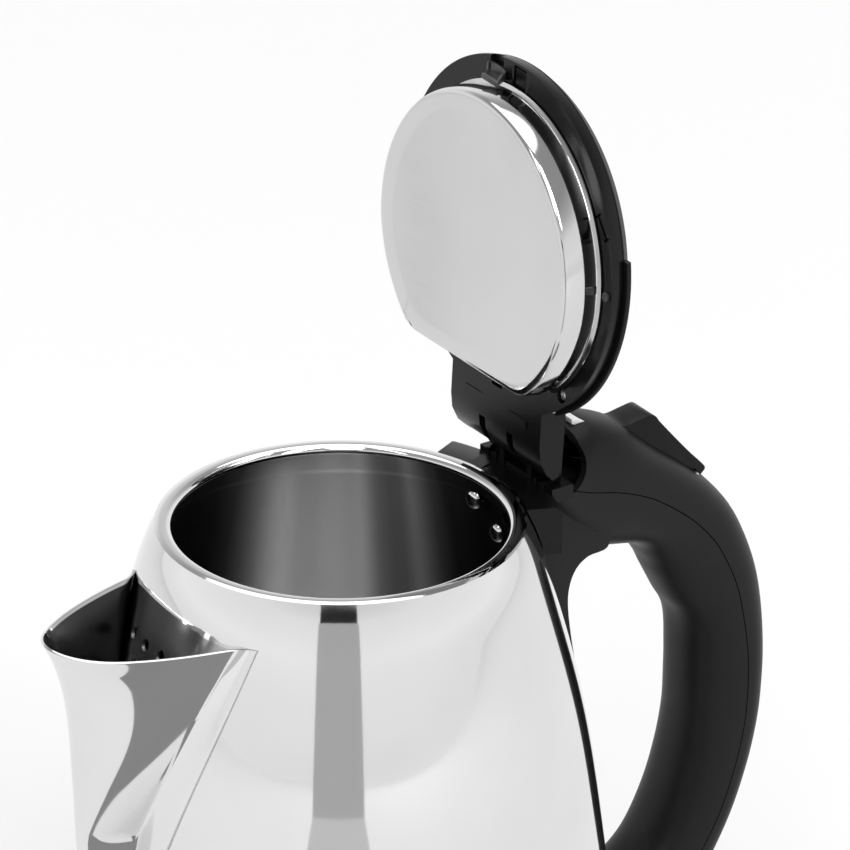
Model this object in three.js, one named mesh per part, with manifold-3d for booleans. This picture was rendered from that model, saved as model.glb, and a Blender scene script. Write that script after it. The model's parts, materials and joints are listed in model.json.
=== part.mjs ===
// Cordless electric kettle: a polished steel vessel on its power base, with the lid held open.
// Units are millimetres. +Z is up, the spout points along -X and the handle along +X.
// The origin is on the kettle's vertical axis, on the surface that the power base stands on.
import * as THREE from 'three';
import { mergeVertices } from 'three/addons/utils/BufferGeometryUtils.js';
import Module from 'manifold-3d';

// ---------------------------------------------------------------- driving dimensions
const GAP = 0.3; // clearance between touching pieces
const RIM_Z = 206; // height of the mouth's rim above the table
const MOUTH_R = 50; // radius of the mouth inside its rolled rim
const BEAD_R = 1.4; // radius of the rolled rim
const WALL = 1.0; // steel wall of the vessel
const BODY_BOTTOM = -172; // lower edge of the steel wall, below the rim
const SEGMENTS = 40; // facets round a large turned piece
const ARC_STEPS = 30; // facets round the D-shaped pan

const BASE_TOP = 20; // top of the power base, where the kettle stands
const BASE_R = 83;
const FOOT_RISE = 1.5; // how far the rubber feet hold the base off the table

const LIP_Z = -15; // the spout's lip, below the rim
const SPOUT_APEX = -137; // where the spout's seam closes to a point
const SHEET = 1.1; // thickness of the spout sheet

const HINGE_X = 65.2; // lid hinge axis, in the kettle's frame
const HINGE_Z = 11.9;
const LID_OPEN = THREE.MathUtils.degToRad(94.7);
const LID_R = 54.3;
const LID_UNDERSIDE = 1.25; // underside of the lid ring when the lid is shut
const PAN_R = 46;
const PAN_FLOOR = -13.8;
const PAN_CHORD = 40.7; // flat side of the steel pan, towards the hinge

const SHELL = 2.5; // moulded wall of the handle's halves
const BUTTON_HALF = 5.5; // half width of the lid release button
const TONGUE_HALF = 23.3; // half width of the lid's hinge tongue

// Vessel outline from the bottom edge to the rolled rim: radius, height below the rim.
const BODY_OUTLINE = [
  [84.5, BODY_BOTTOM], [83, -150], [78.6, -108], [72.4, -61], [67, -37.5], [64.4, -27], [61.9, -18.6],
  [60.6, -14.5], [59.2, -10.5], [57.7, -6], [56.4, -2.4], [55.2, -0.5],
];

// Handle stations from the hinge to the foot: x, z, half width, outer and inner thickness.
const HANDLE_STATIONS = [
  [69.5, -2, 17.5, 14.5, 8],
  [78.2, -5.5, 17, 18.5, 14],
  [90.2, -9.1, 16.5, 17.8, 20.5],
  [101.5, -14.4, 16, 13.8, 19.5],
  [111.9, -21.9, 15.5, 13, 15.5],
  [119.4, -28.8, 15, 13, 16.5],
  [126.2, -37.6, 15, 12.8, 18],
  [132.2, -50.5, 15, 12, 17.6],
  [135.1, -62.7, 15, 11.4, 15.2],
  [136.9, -76, 15, 10.2, 16.2],
  [136.9, -88, 15, 9.6, 16.4],
  [135.6, -100, 15, 9.2, 15.8],
  [131.9, -114, 15, 9, 15],
  [125.6, -129, 15, 9, 14],
  [115.8, -143, 15, 9.8, 12.5],
  [102.9, -152.5, 15, 10.6, 11.5],
  [90.4, -158, 15, 11.5, 11],
  [79, -159.5, 15, 11.5, 11],
];

// ---------------------------------------------------------------- materials
const steel = new THREE.MeshStandardMaterial({ color: 0xd4d5d6, roughness: 0.08, metalness: 1 });
const brushed = new THREE.MeshStandardMaterial({ color: 0x9a9b9c, roughness: 0.35, metalness: 1 });
const black = new THREE.MeshStandardMaterial({ color: 0x1b1b1c, roughness: 0.5, metalness: 0 });
const innerBlack = new THREE.MeshStandardMaterial({ color: 0x101011, roughness: 0.35, metalness: 0 });
const aluminium = new THREE.MeshStandardMaterial({ color: 0xb4b6b8, roughness: 0.4, metalness: 1 });
const brass = new THREE.MeshStandardMaterial({ color: 0xb99a55, roughness: 0.35, metalness: 1 });
const rubber = new THREE.MeshStandardMaterial({ color: 0x2a2a2a, roughness: 0.9, metalness: 0 });
const silicone = new THREE.MeshStandardMaterial({ color: 0xd9d6cf, roughness: 0.7, metalness: 0 });
const badge = new THREE.MeshStandardMaterial({ color: 0xeeeeee, roughness: 0.5, metalness: 0 });
const lens = new THREE.MeshStandardMaterial({ color: 0xc0391c, roughness: 0.2, metalness: 0 });
const copper = new THREE.MeshStandardMaterial({ color: 0xb4633a, roughness: 0.4, metalness: 0 });

// ---------------------------------------------------------------- geometry helpers
const wasm = await Module();
wasm.setup();

// A geometry as a manifold-3d solid with shared vertices, no zero-area faces and outward faces.
function solid(geometry) {
  const bare = geometry.clone();
  bare.deleteAttribute('normal');
  bare.deleteAttribute('uv');
  const merged = mergeVertices(bare, 1e-4);
  const position = merged.attributes.position;
  const corners = [0, 1, 2].map(() => new THREE.Vector3());
  const faces = [];
  let volume = 0;
  for (let i = 0; i < merged.index.count; i += 3) {
    const face = [0, 1, 2].map((k) => merged.index.getX(i + k));
    if (new Set(face).size < 3) {
      continue;
    }
    faces.push(face);
    corners.forEach((corner, k) => corner.fromBufferAttribute(position, face[k]));
    volume += corners[0].dot(corners[1].clone().cross(corners[2]));
  }
  const triVerts = new Uint32Array(faces.flatMap(([a, b, c]) => (volume < 0 ? [a, c, b] : [a, b, c])));
  return new wasm.Manifold(new wasm.Mesh({ numProp: 3, vertProperties: position.array, triVerts }));
}

function meshOf(manifold) {
  const mesh = manifold.getMesh();
  const geometry = new THREE.BufferGeometry();
  geometry.setAttribute('position', new THREE.Float32BufferAttribute(mesh.vertProperties, 3));
  geometry.setIndex(new THREE.Uint32BufferAttribute(mesh.triVerts, 1));
  geometry.computeVertexNormals();
  return geometry;
}

const join = (...solids) => solids.reduce((whole, next) => whole.add(next));
const cut = (whole, ...tools) => tools.reduce((left, tool) => left.subtract(tool), whole);

function addPart(group, name, piece, material) {
  const mesh = new THREE.Mesh(meshOf(piece), material);
  mesh.name = name;
  group.add(mesh);
  return mesh;
}

// A turned solid about +Z from a closed profile of [radius, z] points.
function turned(profile, segments = SEGMENTS) {
  const points = [...profile, profile[0]].map(([radius, z]) => new THREE.Vector2(radius, z));
  return solid(new THREE.LatheGeometry(points, segments).rotateX(Math.PI / 2));
}

function cylinder(radius, low, high, x = 0, y = 0, segments = 24) {
  const geometry = new THREE.CylinderGeometry(radius, radius, high - low, segments);
  return solid(geometry.rotateX(Math.PI / 2).translate(x, y, (low + high) / 2));
}

function ring(inner, outer, low, high, segments = SEGMENTS) {
  return turned([[inner, low], [outer, low], [outer, high], [inner, high]], segments);
}

// A cylinder along Y through the point x, z.
function crossRod(radius, from, to, x, z, segments = 16) {
  const geometry = new THREE.CylinderGeometry(radius, radius, to - from, segments);
  return solid(geometry.translate(x, (from + to) / 2, z));
}

function box(low, high) {
  const size = high.map((value, axis) => value - low[axis]);
  const centre = high.map((value, axis) => (value + low[axis]) / 2);
  return solid(new THREE.BoxGeometry(...size).translate(...centre));
}

// A plan outline ([x, y] points or a Shape) raised from low to high.
function raised(outline, low, high, curveSegments = 12) {
  const shape = outline instanceof THREE.Shape
    ? outline
    : new THREE.Shape(outline.map(([x, y]) => new THREE.Vector2(x, y)));
  const options = { depth: high - low, bevelEnabled: false, curveSegments };
  return solid(new THREE.ExtrudeGeometry(shape, options).translate(0, 0, low));
}

// A side outline of [x, z] points, as wide as from y = -half to y = +half.
function profiled(outline, half, centre = 0) {
  const shape = new THREE.Shape(outline.map(([x, z]) => new THREE.Vector2(x, z)));
  const options = { depth: 2 * half, bevelEnabled: false };
  const geometry = new THREE.ExtrudeGeometry(shape, options).rotateX(Math.PI / 2);
  return solid(geometry.translate(0, centre + half, 0));
}

// A closed body through rings of [x, y, z] points, each ring with the same number of points.
function loft(rings) {
  const count = rings[0].length;
  const centres = [rings[0], rings.at(-1)].map((points) => (
    [0, 1, 2].map((axis) => points.reduce((sum, point) => sum + point[axis], 0) / count)
  ));
  const index = [];
  for (let i = 0; i < rings.length - 1; i += 1) {
    for (let j = 0; j < count; j += 1) {
      const next = (j + 1) % count;
      const [a, b] = [i * count + j, i * count + next];
      const [c, d] = [a + count, b + count];
      index.push(a, b, d, a, d, c);
    }
  }
  const last = (rings.length - 1) * count;
  const hub = rings.length * count;
  for (let j = 0; j < count; j += 1) {
    const next = (j + 1) % count;
    index.push(hub, next, j, hub + 1, last + j, last + next);
  }
  const geometry = new THREE.BufferGeometry();
  const points = [...rings.flat(), ...centres].flat();
  geometry.setAttribute('position', new THREE.Float32BufferAttribute(points, 3));
  geometry.setIndex(index);
  return solid(geometry);
}

// A round bar along a curve.
function bar(curve, radius, steps, sides = 8) {
  const section = new THREE.Shape();
  for (let i = 0; i < sides; i += 1) {
    const angle = (2 * Math.PI * i) / sides;
    const point = [radius * Math.cos(angle), radius * Math.sin(angle)];
    if (i === 0) {
      section.moveTo(...point);
    } else {
      section.lineTo(...point);
    }
  }
  return solid(new THREE.ExtrudeGeometry(section, { steps, bevelEnabled: false, extrudePath: curve }));
}

function smooth(points) {
  return new THREE.CatmullRomCurve3(points.map((point) => new THREE.Vector3(...point)));
}

// A wire coil of the given mean radius and turns along +Z from low to high.
class Coil extends THREE.Curve {
  constructor(radius, low, high, turns) {
    super();
    Object.assign(this, { radius, low, high, turns });
  }

  getPoint(t) {
    const angle = 2 * Math.PI * this.turns * t;
    const z = this.low + (this.high - this.low) * t;
    return new THREE.Vector3(this.radius * Math.cos(angle), this.radius * Math.sin(angle), z);
  }
}

function coilSpring(radius, wire, low, high, turns) {
  return bar(new Coil(radius, low, high, turns), wire, turns * 7, 4);
}

const polar = (radius, angle, z) => [radius * Math.cos(angle), radius * Math.sin(angle), z];
const radians = THREE.MathUtils.degToRad;

// ---------------------------------------------------------------- vessel
const bodyCurve = new THREE.SplineCurve(BODY_OUTLINE.map(([r, z]) => new THREE.Vector2(r, z)));
const bodyPoints = bodyCurve.getPoints(20).map((point) => [point.x, point.y]);

function bodyRadius(z) {
  const above = bodyPoints.findIndex((point) => point[1] >= z);
  if (above < 1) {
    return above === 0 ? bodyPoints[0][0] : bodyPoints.at(-1)[0];
  }
  const [r0, z0] = bodyPoints[above - 1];
  const [r1, z1] = bodyPoints[above];
  return r0 + ((r1 - r0) * (z - z0)) / (z1 - z0);
}

// The vessel's outside as one plug, grown by a margin, for cutting pieces that lie on it.
function bodyPlug(margin) {
  const outside = bodyPoints.map(([r, z]) => [r + margin, z + (z > -12 ? margin : 0)]);
  const [topR, topZ] = outside.at(-1);
  const low = BODY_BOTTOM - 8;
  const high = topZ + 6;
  return turned([[0, low], [outside[0][0], low], ...outside, [topR, high], [0, high]]);
}

// Rivets that hold the handle: angle round the vessel, height below the rim.
const RIVETS = [
  [radians(12), -13], [radians(-12), -13], [radians(6.5), -23.5], [radians(-6.5), -23.5],
];

// A rod that points radially outwards at the given angle and height.
function radialRod(radius, from, to, angle, z, segments = 10) {
  const geometry = new THREE.CylinderGeometry(radius, radius, to - from, segments);
  geometry.rotateZ(-Math.PI / 2).translate((from + to) / 2, 0, 0);
  return solid(geometry.rotateZ(angle).translate(0, 0, z));
}

function strainerHoles() {
  const rows = [[-27, 5], [-35, 4], [-43, 3]];
  const pitch = 8; // degrees between neighbours in a row
  const holes = [];
  rows.forEach(([z, count]) => {
    for (let i = 0; i < count; i += 1) {
      const angle = Math.PI + radians(pitch * (i - (count - 1) / 2));
      holes.push(radialRod(2, bodyRadius(z) - 4, bodyRadius(z) + 3, angle, z, 6));
    }
  });
  return holes;
}

function vesselWall() {
  const bead = [90, 120, 150, 180, 215].map((degrees) => {
    const angle = radians(degrees);
    return [MOUTH_R + BEAD_R + BEAD_R * Math.cos(angle), -BEAD_R + BEAD_R * Math.sin(angle)];
  });
  const inside = BODY_OUTLINE.map(([r, z]) => [r - WALL, z - (z > -12 ? WALL * 0.9 : 0)]).reverse();
  const wall = turned([...bodyPoints, ...bead, ...inside]);
  const rivetHoles = RIVETS.map(([angle, z]) => radialRod(2.3, 50, 75, angle, z));
  const steamHole = radialRod(3, 55, 72, 0, -17);
  return cut(wall, ...strainerHoles(), ...rivetHoles, steamHole);
}

function rivet([angle, z]) {
  const wallR = bodyRadius(z);
  const lean = z > -20 ? 2.4 : 1.3; // the wall slopes more near the mouth
  const head = radialRod(3.1, wallR - WALL - lean - 1.6, wallR - WALL - lean, angle, z, 12);
  const shank = radialRod(2, wallR - WALL - lean - 0.5, wallR + 1.6, angle, z, 12);
  return join(head, shank);
}

// ---------------------------------------------------------------- spout
// The nose line of the spout, seen from the side: distance in front of the axis, height.
const noseCurve = new THREE.SplineCurve([
  [103.9, LIP_Z], [100.6, -20.5], [98.1, -27], [96, -36], [94.9, -46], [94.4, -62], [93.5, -88],
  [89, -115], [82.8, SPOUT_APEX],
].map(([x, z]) => new THREE.Vector2(x, z)));

// How far the corners of the spout's mouth stand off the shoulder.
const MOUTH_STAND_OFF = 2.6;

// How far round from the front the welded edge lies, at a fraction of the way down.
const seamAngle = (down) => radians(1.2 + 31.2 * (1 - down) ** 1.2);

// Half of the spout's plan outline, from the welded edge to the nose.
function spoutHalf(noseX, z, down, inset) {
  const flange = 6.5 + 10 * down;
  const bodyR = bodyRadius(z);
  const seam = seamAngle(down);
  const fold = Math.max(seam - flange / bodyR, seam * 0.35) - inset * 0.02;
  const foldR = bodyR + 1.3 + MOUTH_STAND_OFF * (1 - down) ** 8 - inset * 1.2;
  const nose = noseX - inset;
  const foldY = Math.max(foldR * Math.sin(fold) - inset, 0.4);
  const foldPoint = new THREE.Vector2(foldR * Math.cos(fold), foldY);
  const reach = nose - foldPoint.x;
  const side = new THREE.CubicBezierCurve(
    foldPoint,
    new THREE.Vector2(foldPoint.x + reach * 0.45, Math.max(foldY - reach * 0.1, foldY * 0.45)),
    new THREE.Vector2(nose, foldY * 0.5),
    new THREE.Vector2(nose, 0),
  );
  const start = inset > 0
    ? [(bodyR - 6) * Math.cos(fold), Math.max((bodyR - 6) * Math.sin(fold) - inset, 0.3)]
    : [(bodyR + SHEET) * Math.cos(seam), (bodyR + SHEET) * Math.sin(seam)];
  return [start, ...side.getPoints(6).map((point) => [point.x, point.y])];
}

function spoutSection(t, inset, lift = 0) {
  const nose = noseCurve.getPoint(t);
  const down = (LIP_Z - nose.y) / (LIP_Z - SPOUT_APEX);
  const half = spoutHalf(nose.x, nose.y, down, inset);
  const mirrored = half.slice(0, -1).reverse().map(([x, y]) => [x, -y]);
  return [...half, ...mirrored].map(([x, y]) => {
    const tipRise = t === 0 ? 1.5 * Math.max(0, (x - 90) / 15) ** 2 : 0;
    return [-x, y, nose.y + tipRise + lift];
  });
}

function spout() {
  const steps = [0, 0.05, 0.1, 0.16, 0.23, 0.31, 0.4, 0.5, 0.6, 0.7, 0.8, 0.9, 1];
  const outside = loft(steps.map((t) => spoutSection(t, 0)));
  const inner = steps.slice(0, -2).map((t) => spoutSection(t, SHEET));
  const hollow = loft([spoutSection(0, SHEET, 8), ...inner]);
  return cut(outside, hollow, bodyPlug(GAP));
}

// ---------------------------------------------------------------- handle
const spine = new THREE.SplineCurve(HANDLE_STATIONS.map(([x, z]) => new THREE.Vector2(x, z)));
const lastStation = HANDLE_STATIONS.length - 1;

function stationValue(position, column) {
  const low = Math.min(Math.floor(position), lastStation - 1);
  const share = position - low;
  return HANDLE_STATIONS[low][column] * (1 - share) + HANDLE_STATIONS[low + 1][column] * share;
}

// One half section of the handle: a rounded arch on the outer (+1) or inner (-1) side.
function handleSection(position, side, inset, overlap) {
  const t = position / lastStation;
  const centre = spine.getPoint(t);
  const tangent = spine.getTangent(t);
  const outward = new THREE.Vector2(-tangent.y, tangent.x);
  const half = stationValue(position, 2) - inset;
  const depth = stationValue(position, side > 0 ? 3 : 4) - inset;
  const arch = [];
  const facets = 10;
  const roundness = 0.8; // 1 is an ellipse, less is squarer
  for (let i = 0; i <= facets; i += 1) {
    const angle = (Math.PI * i) / facets;
    const across = half * Math.sign(Math.cos(angle)) * Math.abs(Math.cos(angle)) ** roundness;
    const rise = side * (depth * Math.abs(Math.sin(angle)) ** roundness + (i % facets ? 0 : -overlap));
    const edge = side * (GAP / 2);
    arch.push([
      centre.x + outward.x * (rise + edge),
      Math.abs(across) < 1e-9 ? 0 : across,
      centre.y + outward.y * (rise + edge),
    ]);
  }
  return arch;
}

function handleHalf(side, inset = 0, overlap = 0, from = 0, to = lastStation) {
  const sections = [];
  for (let position = from; position <= to; position += 1) {
    sections.push(handleSection(position, side, inset, overlap));
  }
  return loft(sections);
}

// The lid hinge swings in this hollow between the handle's cheeks.
function hingePocket(margin) {
  return join(
    crossRod(12.4 + margin, -30, 30, HINGE_X, HINGE_Z, 32),
    crossRod(11.5 + margin, -30, 30, 66, 6, 32),
  );
}

const shoulderRing = (grow) => turned([
  [40, -16 - grow], [66.5 + grow, -16 - grow], [66.5 + grow, 8], [40, 8],
]);

// Side view of the lid release button, from its nose over the crest to the pivot.
const BUTTON_OUTLINE = [
  [92.6, 8.2], [98.2, 6.3], [103.6, 6.9], [107.9, 7.4], [109.9, 6.2], [111.1, 4.4], [116.3, -2],
  [121.7, -8.4], [127.1, -14.4], [127.3, -16], [123.4, -19.5], [119.4, -17], [109.9, -8],
  [101.3, -1.5], [92.6, 3.5],
];
const BUTTON_HOLLOW = [[94.4, 3], [119.3, -18], [115.8, -9], [106.3, 0.5], [94.4, 5.5]];
const BUTTON_PIVOT = [122.9, -15.9];
const BUTTON_TRAVEL = radians(4.5); // how far the button turns when it is pressed
const BADGE_SIDE = [[79.5, 11.9], [91, 7.4], [91, 9], [79.5, 13.6]];
const BADGE_HALF = 5;

function growOutline(points, margin) {
  const centreX = points.reduce((sum, point) => sum + point[0], 0) / points.length;
  const centreZ = points.reduce((sum, point) => sum + point[1], 0) / points.length;
  return points.map(([x, z]) => {
    const reach = Math.hypot(x - centreX, z - centreZ);
    return [x + ((x - centreX) * margin) / reach, z + ((z - centreZ) * margin) / reach];
  });
}

// The button's outline turned about its pivot by a share of its travel.
function pressedOutline(share) {
  const cos = Math.cos(BUTTON_TRAVEL * share);
  const sin = Math.sin(BUTTON_TRAVEL * share);
  const [pivotX, pivotZ] = BUTTON_PIVOT;
  return BUTTON_OUTLINE.map(([x, z]) => [
    pivotX + (x - pivotX) * cos - (z - pivotZ) * sin,
    pivotZ + (x - pivotX) * sin + (z - pivotZ) * cos,
  ]);
}

function handleUpperShell() {
  const hollow = join(handleHalf(1, SHELL, 4, 0, lastStation), box([64, -14.5, -6], [73, 14.5, 11]));
  const buttonSlots = [0, 0.25, 0.5, 0.75, 1].map((share) => {
    return profiled(growOutline(pressedOutline(share), 0.8), BUTTON_HALF + 0.4);
  });
  const badgeSeat = profiled(growOutline(BADGE_SIDE, 0.4), BADGE_HALF + GAP);
  const pinBore = crossRod(1.4, -8, 8, ...BUTTON_PIVOT, 10);
  return cut(
    handleHalf(1), hollow, hingePocket(0), ...buttonSlots, badgeSeat, pinBore,
    shoulderRing(GAP), bodyPlug(GAP),
  );
}

// The strip of the handle that runs down the vessel below the hinge.
function handleStrip() {
  const outline = [
    [66, -9], [84, -12], [88, -20], [87, -27.4], [80, -28.6], [75.6, -31.6], [73.2, -37], [72.8, -44],
    [74.3, -56], [77.2, -72], [79.4, -88], [79.8, -98], [76, -98], [66, -60], [60, -30],
  ];
  return profiled(outline, 13.5);
}

function handleLowerGrip() {
  const hollow = join(handleHalf(-1, SHELL, 4, 1, lastStation), box([60, -14, -5.2], [81, 14, 3]));
  const rivetHoles = RIVETS.map(([angle, z]) => radialRod(2.4, 60, bodyRadius(z) + 2.5, angle, z));
  const steamWay = radialRod(4.5, 60, 95, 0, -17);
  const springSeat = box([98, -14.3, -19.6], [105, 3.2, -17.8]);
  const grip = cut(
    join(handleHalf(-1), handleStrip()), hollow, hingePocket(0),
    shoulderRing(GAP), bodyPlug(GAP), steamWay, ...rivetHoles,
  );
  return join(grip, springSeat);
}

function hingeCollar() {
  const tip = radians(25); // how far each side the collar reaches round the mouth
  const reach = 90;
  const spread = reach * Math.tan(tip);
  const wedge = raised([[0, 0], [reach, -spread], [reach, spread]], -30, 10);
  const section = [[54.4, -16], [66.5, -16], [66.5, -2.6], [64.5, -0.9], [54.4, -0.9]];
  const skirt = turned(section).intersect(wedge);
  const deckTail = box([60, -12, -4.3], [82, 12, -1.4]);
  const block = box([62.9, -19, -4.3], [70.5, 19, 0.4]);
  const ears = [-1, 1].map((side) => {
    const foot = profiled([[62.6, -3], [71, -3], [67.6, HINGE_Z], [62.6, HINGE_Z]], 1.2, side * 7.2);
    return join(foot, crossRod(2.7, side * 7.2 - 1.2, side * 7.2 + 1.2, HINGE_X, HINGE_Z));
  });
  const rivetHoles = RIVETS.map(([angle, z]) => radialRod(2.3, 55, 64.5, angle, z));
  const bore = crossRod(1.55, -20, 20, HINGE_X, HINGE_Z);
  return cut(join(skirt, deckTail, block, ...ears), bodyPlug(GAP), bore, ...rivetHoles);
}

function releaseButton() {
  const body = profiled(BUTTON_OUTLINE, BUTTON_HALF);
  const underside = profiled(BUTTON_HOLLOW, BUTTON_HALF - 2);
  const pinHole = crossRod(1.3, -20, 20, ...BUTTON_PIVOT);
  return cut(body, underside, pinHole);
}

function releaseSlider() {
  return join(box([78.2, -4, 4.4], [91.8, 4, 6]), box([84, -1.5, 2], [88, 1.5, 5]));
}

function steamTube() {
  const route = [];
  for (let position = 2; position < lastStation - 1; position += 1) {
    const centre = spine.getPoint(position / lastStation);
    route.push([centre.x - 3, 6, centre.y - 3]);
  }
  return bar(smooth([[67, 0, -17], [76, 0, -17], ...route]), 2.4, 24, 6);
}

// ---------------------------------------------------------------- lid, drawn shut in the kettle's frame
function panOutline(radius, chord) {
  const angle = Math.acos(chord / radius);
  const shape = new THREE.Shape();
  shape.absarc(0, 0, radius, angle, 2 * Math.PI - angle, false);
  shape.closePath();
  return shape;
}

function lidPan() {
  const sheet = 0.8;
  const top = LID_UNDERSIDE - GAP;
  const outer = join(
    raised(panOutline(PAN_R - 1.2, PAN_CHORD - 1.2), PAN_FLOOR, PAN_FLOOR + 1.4, ARC_STEPS),
    raised(panOutline(PAN_R, PAN_CHORD), PAN_FLOOR + 1.2, top, ARC_STEPS),
    raised(panOutline(PAN_R + 0.6, PAN_CHORD + 0.6), top - 0.6, top, ARC_STEPS),
  );
  const inset = sheet + 1;
  const inside = panOutline(PAN_R - inset, PAN_CHORD - inset);
  return cut(outer, raised(inside, PAN_FLOOR + sheet, 5, ARC_STEPS));
}

// Side view of the plate that joins the lid ring to the hinge knuckle.
const TONGUE_SIDE = [
  [44, LID_UNDERSIDE], [60, 1.6], [64.9, 2.4], [69.2, 4.8], [71.4, 7.4], [70.4, 9.5], [44, 9.5],
];
const KNUCKLE_HALF = 16;
const CATCH_SIDE = [[-50, 2], [-49.9, LID_UNDERSIDE], [-45.9, -2.8], [-42, -2.8], [-42, 2]];

// The slanted catch housing between the ring and the pan at the lid's free end.
function catchHousing() {
  const ramp = profiled(CATCH_SIDE, 4.8, 12.5);
  const flangeRoom = raised(panOutline(PAN_R + 0.9, PAN_CHORD), -8, LID_UNDERSIDE);
  const rimRoom = ring(MOUTH_R - 0.4, MOUTH_R + 8, -6, 0.3);
  return cut(ramp, flangeRoom, rimRoom, box([-48.5, 9.3, -8], [-40, 15.7, -0.4]));
}

function lidFrame() {
  const plateTop = 5.4;
  const coverKeepOut = cylinder(LID_R + GAP, plateTop, 30, 0, 0, SEGMENTS);
  const disc = turned([
    [0, LID_UNDERSIDE], [LID_R, LID_UNDERSIDE], [LID_R, LID_UNDERSIDE + 1.2], [LID_R - 0.7, plateTop],
    [0, plateTop],
  ]);
  const panRoom = raised(panOutline(PAN_R + 0.4, PAN_CHORD + 0.4), -5, 10, ARC_STEPS);
  const plate = cut(join(disc, catchHousing()), panRoom);
  const tongue = join(
    profiled(TONGUE_SIDE, TONGUE_HALF),
    box([54, -KNUCKLE_HALF, LID_UNDERSIDE], [57, KNUCKLE_HALF, 15.6]),
    box([56, -KNUCKLE_HALF, 7.2], [76.1, KNUCKLE_HALF, 15.6]),
  );
  const tailChamfer = profiled([[69, 7], [77, 13.4], [78, 5]], 20);
  const slots = [-1, 1].map((side) => box([61.4, side * 7.2 - 1.6, 0], [77, side * 7.2 + 1.6, 18]));
  const springRoom = crossRod(3.3, -6, 6, HINGE_X, HINGE_Z);
  const bore = crossRod(1.55, -20, 20, HINGE_X, HINGE_Z);
  const latchChannel = box([-53.4, -3.2, 0], [-40, 3.2, 4.6]);
  const barChannel = box([38, -2.6, 0], [49, 2.6, 4.6]);
  const rear = cut(tongue, coverKeepOut);
  return cut(join(plate, rear), tailChamfer, ...slots, springRoom, bore, latchChannel, barChannel);
}

function lidCover() {
  const low = 5.4 + GAP;
  const outside = [
    [LID_R - 0.8, low], [52.2, 7.3], [50.7, 9], [48, 10.7], [43.2, 12.2], [33, 13.5], [18, 14.3], [0, 14.6],
  ];
  const inside = outside.slice(1).map(([r, z]) => [Math.max(r - 2.2, 0), z - 1.5]).reverse();
  const dome = turned([...outside, ...inside, [LID_R - 2.2, low]]);
  const lip = ring(LID_R - 1.5, LID_R + 1.2, low, low + 1.6);
  const frontHalf = box([-80, -80, 0], [-11, 80, 30]);
  const tongueRoom = box([0, -TONGUE_HALF - 1, 0], [80, TONGUE_HALF + 1, 30]);
  return join(dome, cut(lip, frontHalf, tongueRoom));
}

function latchBar() {
  const beak = box([-52.6, -2.8, 1.7], [-41, 2.8, 4.2]);
  const strip = box([-41.5, -1.8, 1.7], [44.5, 1.8, 3.1]);
  return join(beak, strip);
}

// ---------------------------------------------------------------- underside and power base
function baseSkirt() {
  const low = BASE_TOP + GAP - RIM_Z;
  const top = BODY_BOTTOM - GAP;
  const shell = turned([
    [84.6, low], [86.4, low + 1.5], [86.4, low + 6], [85.4, top], [81.5, top], [81.5, top - 2.5],
    [83, top - 4], [83, low + 3.5], [82.2, low + 3.2], [82.2, low],
  ]);
  const leverSlot = box([78, -9, low + 3.4], [92, 9, top - 3]);
  return cut(shell, leverSlot);
}

function undersideCover() {
  const low = BASE_TOP + 1.2 - RIM_Z;
  const plate = ring(23, 81.9, low, low + 2, SEGMENTS);
  return cut(plate, ...screwPlaces(60, 30).map(([x, y]) => cylinder(2, low - 5, low + 5, x, y, 10)));
}

function screwPlaces(radius, start) {
  return [0, 120, 240].map((angle) => polar(radius, radians(angle + start), 0).slice(0, 2));
}

function screw(x, y, headLow, headHeight, length) {
  const head = cylinder(3.2, headLow, headLow + headHeight, x, y, 12);
  const shank = cylinder(1.6, headLow + headHeight / 2, headLow + length, x, y, 10);
  return join(head, shank);
}

const LEVER_PIVOT = [84, -178.6];
const LEVER_SIDE = [
  [79, -180.8], [86, -181.8], [98, -182.4], [106.5, -181], [108, -178.6], [104, -176.6],
  [92, -176.2], [86, -176.4], [80, -177],
];

function switchLever() {
  const lever = cut(profiled(LEVER_SIDE, 8), crossRod(1.3, -20, 20, ...LEVER_PIVOT));
  return cut(lever, box([95.7, -3.3, -178], [102.3, 3.3, -170]));
}

function heatingElement() {
  const radius = 46;
  const route = [];
  for (let degrees = 20; degrees <= 340; degrees += 16) {
    route.push(polar(radius, radians(degrees), -170));
  }
  const start = polar(radius, radians(12), -173);
  const end = polar(radius, radians(348), -173);
  return bar(smooth([start, ...route, end]), 3.2, 28, 6);
}

function baseShell() {
  const wall = 2.4;
  return turned([
    [BASE_R, 3.8], [BASE_R - 0.4, 9], [BASE_R - 2.6, 15], [BASE_R - 6, BASE_TOP - 0.8],
    [BASE_R - 8.5, BASE_TOP], [BASE_R - 11, BASE_TOP], [BASE_R - 14, BASE_TOP - 1.6],
    [34, BASE_TOP - 2.4], [30, BASE_TOP - 1.2], [22, BASE_TOP - 1.2],
    [22, BASE_TOP - 1.2 - wall], [32, BASE_TOP - 2.4 - wall], [BASE_R - 12, BASE_TOP - 2 - wall],
    [BASE_R - 8, BASE_TOP - 0.8 - wall], [BASE_R - 5, 14], [BASE_R - wall, 8], [BASE_R - wall, 3.8],
  ]);
}

const GLAND_Z = 9; // height of the cord gland above the table

// A rod along X, tapering from one radius to the other, centred on x.
function glandRod(frontR, backR, length, x) {
  const geometry = new THREE.CylinderGeometry(frontR, backR, length, 16);
  return solid(geometry.rotateZ(-Math.PI / 2).translate(x, 0, GLAND_Z));
}

function cordGland() {
  return cut(glandRod(5.2, 6.4, 12, BASE_R - 1.5), glandRod(3.4, 3.4, 30, BASE_R));
}

function connectorPost() {
  const outside = [[0, 8], [20, 8], [20, BASE_TOP - 4.6], [21.4, BASE_TOP - 4.6], [21.4, BASE_TOP - 0.6]];
  const top = [[14, BASE_TOP + 0.4], [12.6, 31], [11.6, 32], [8.6, 32], [8.6, 20], [0, 20]];
  return turned([...outside, ...top], 24);
}

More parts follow.
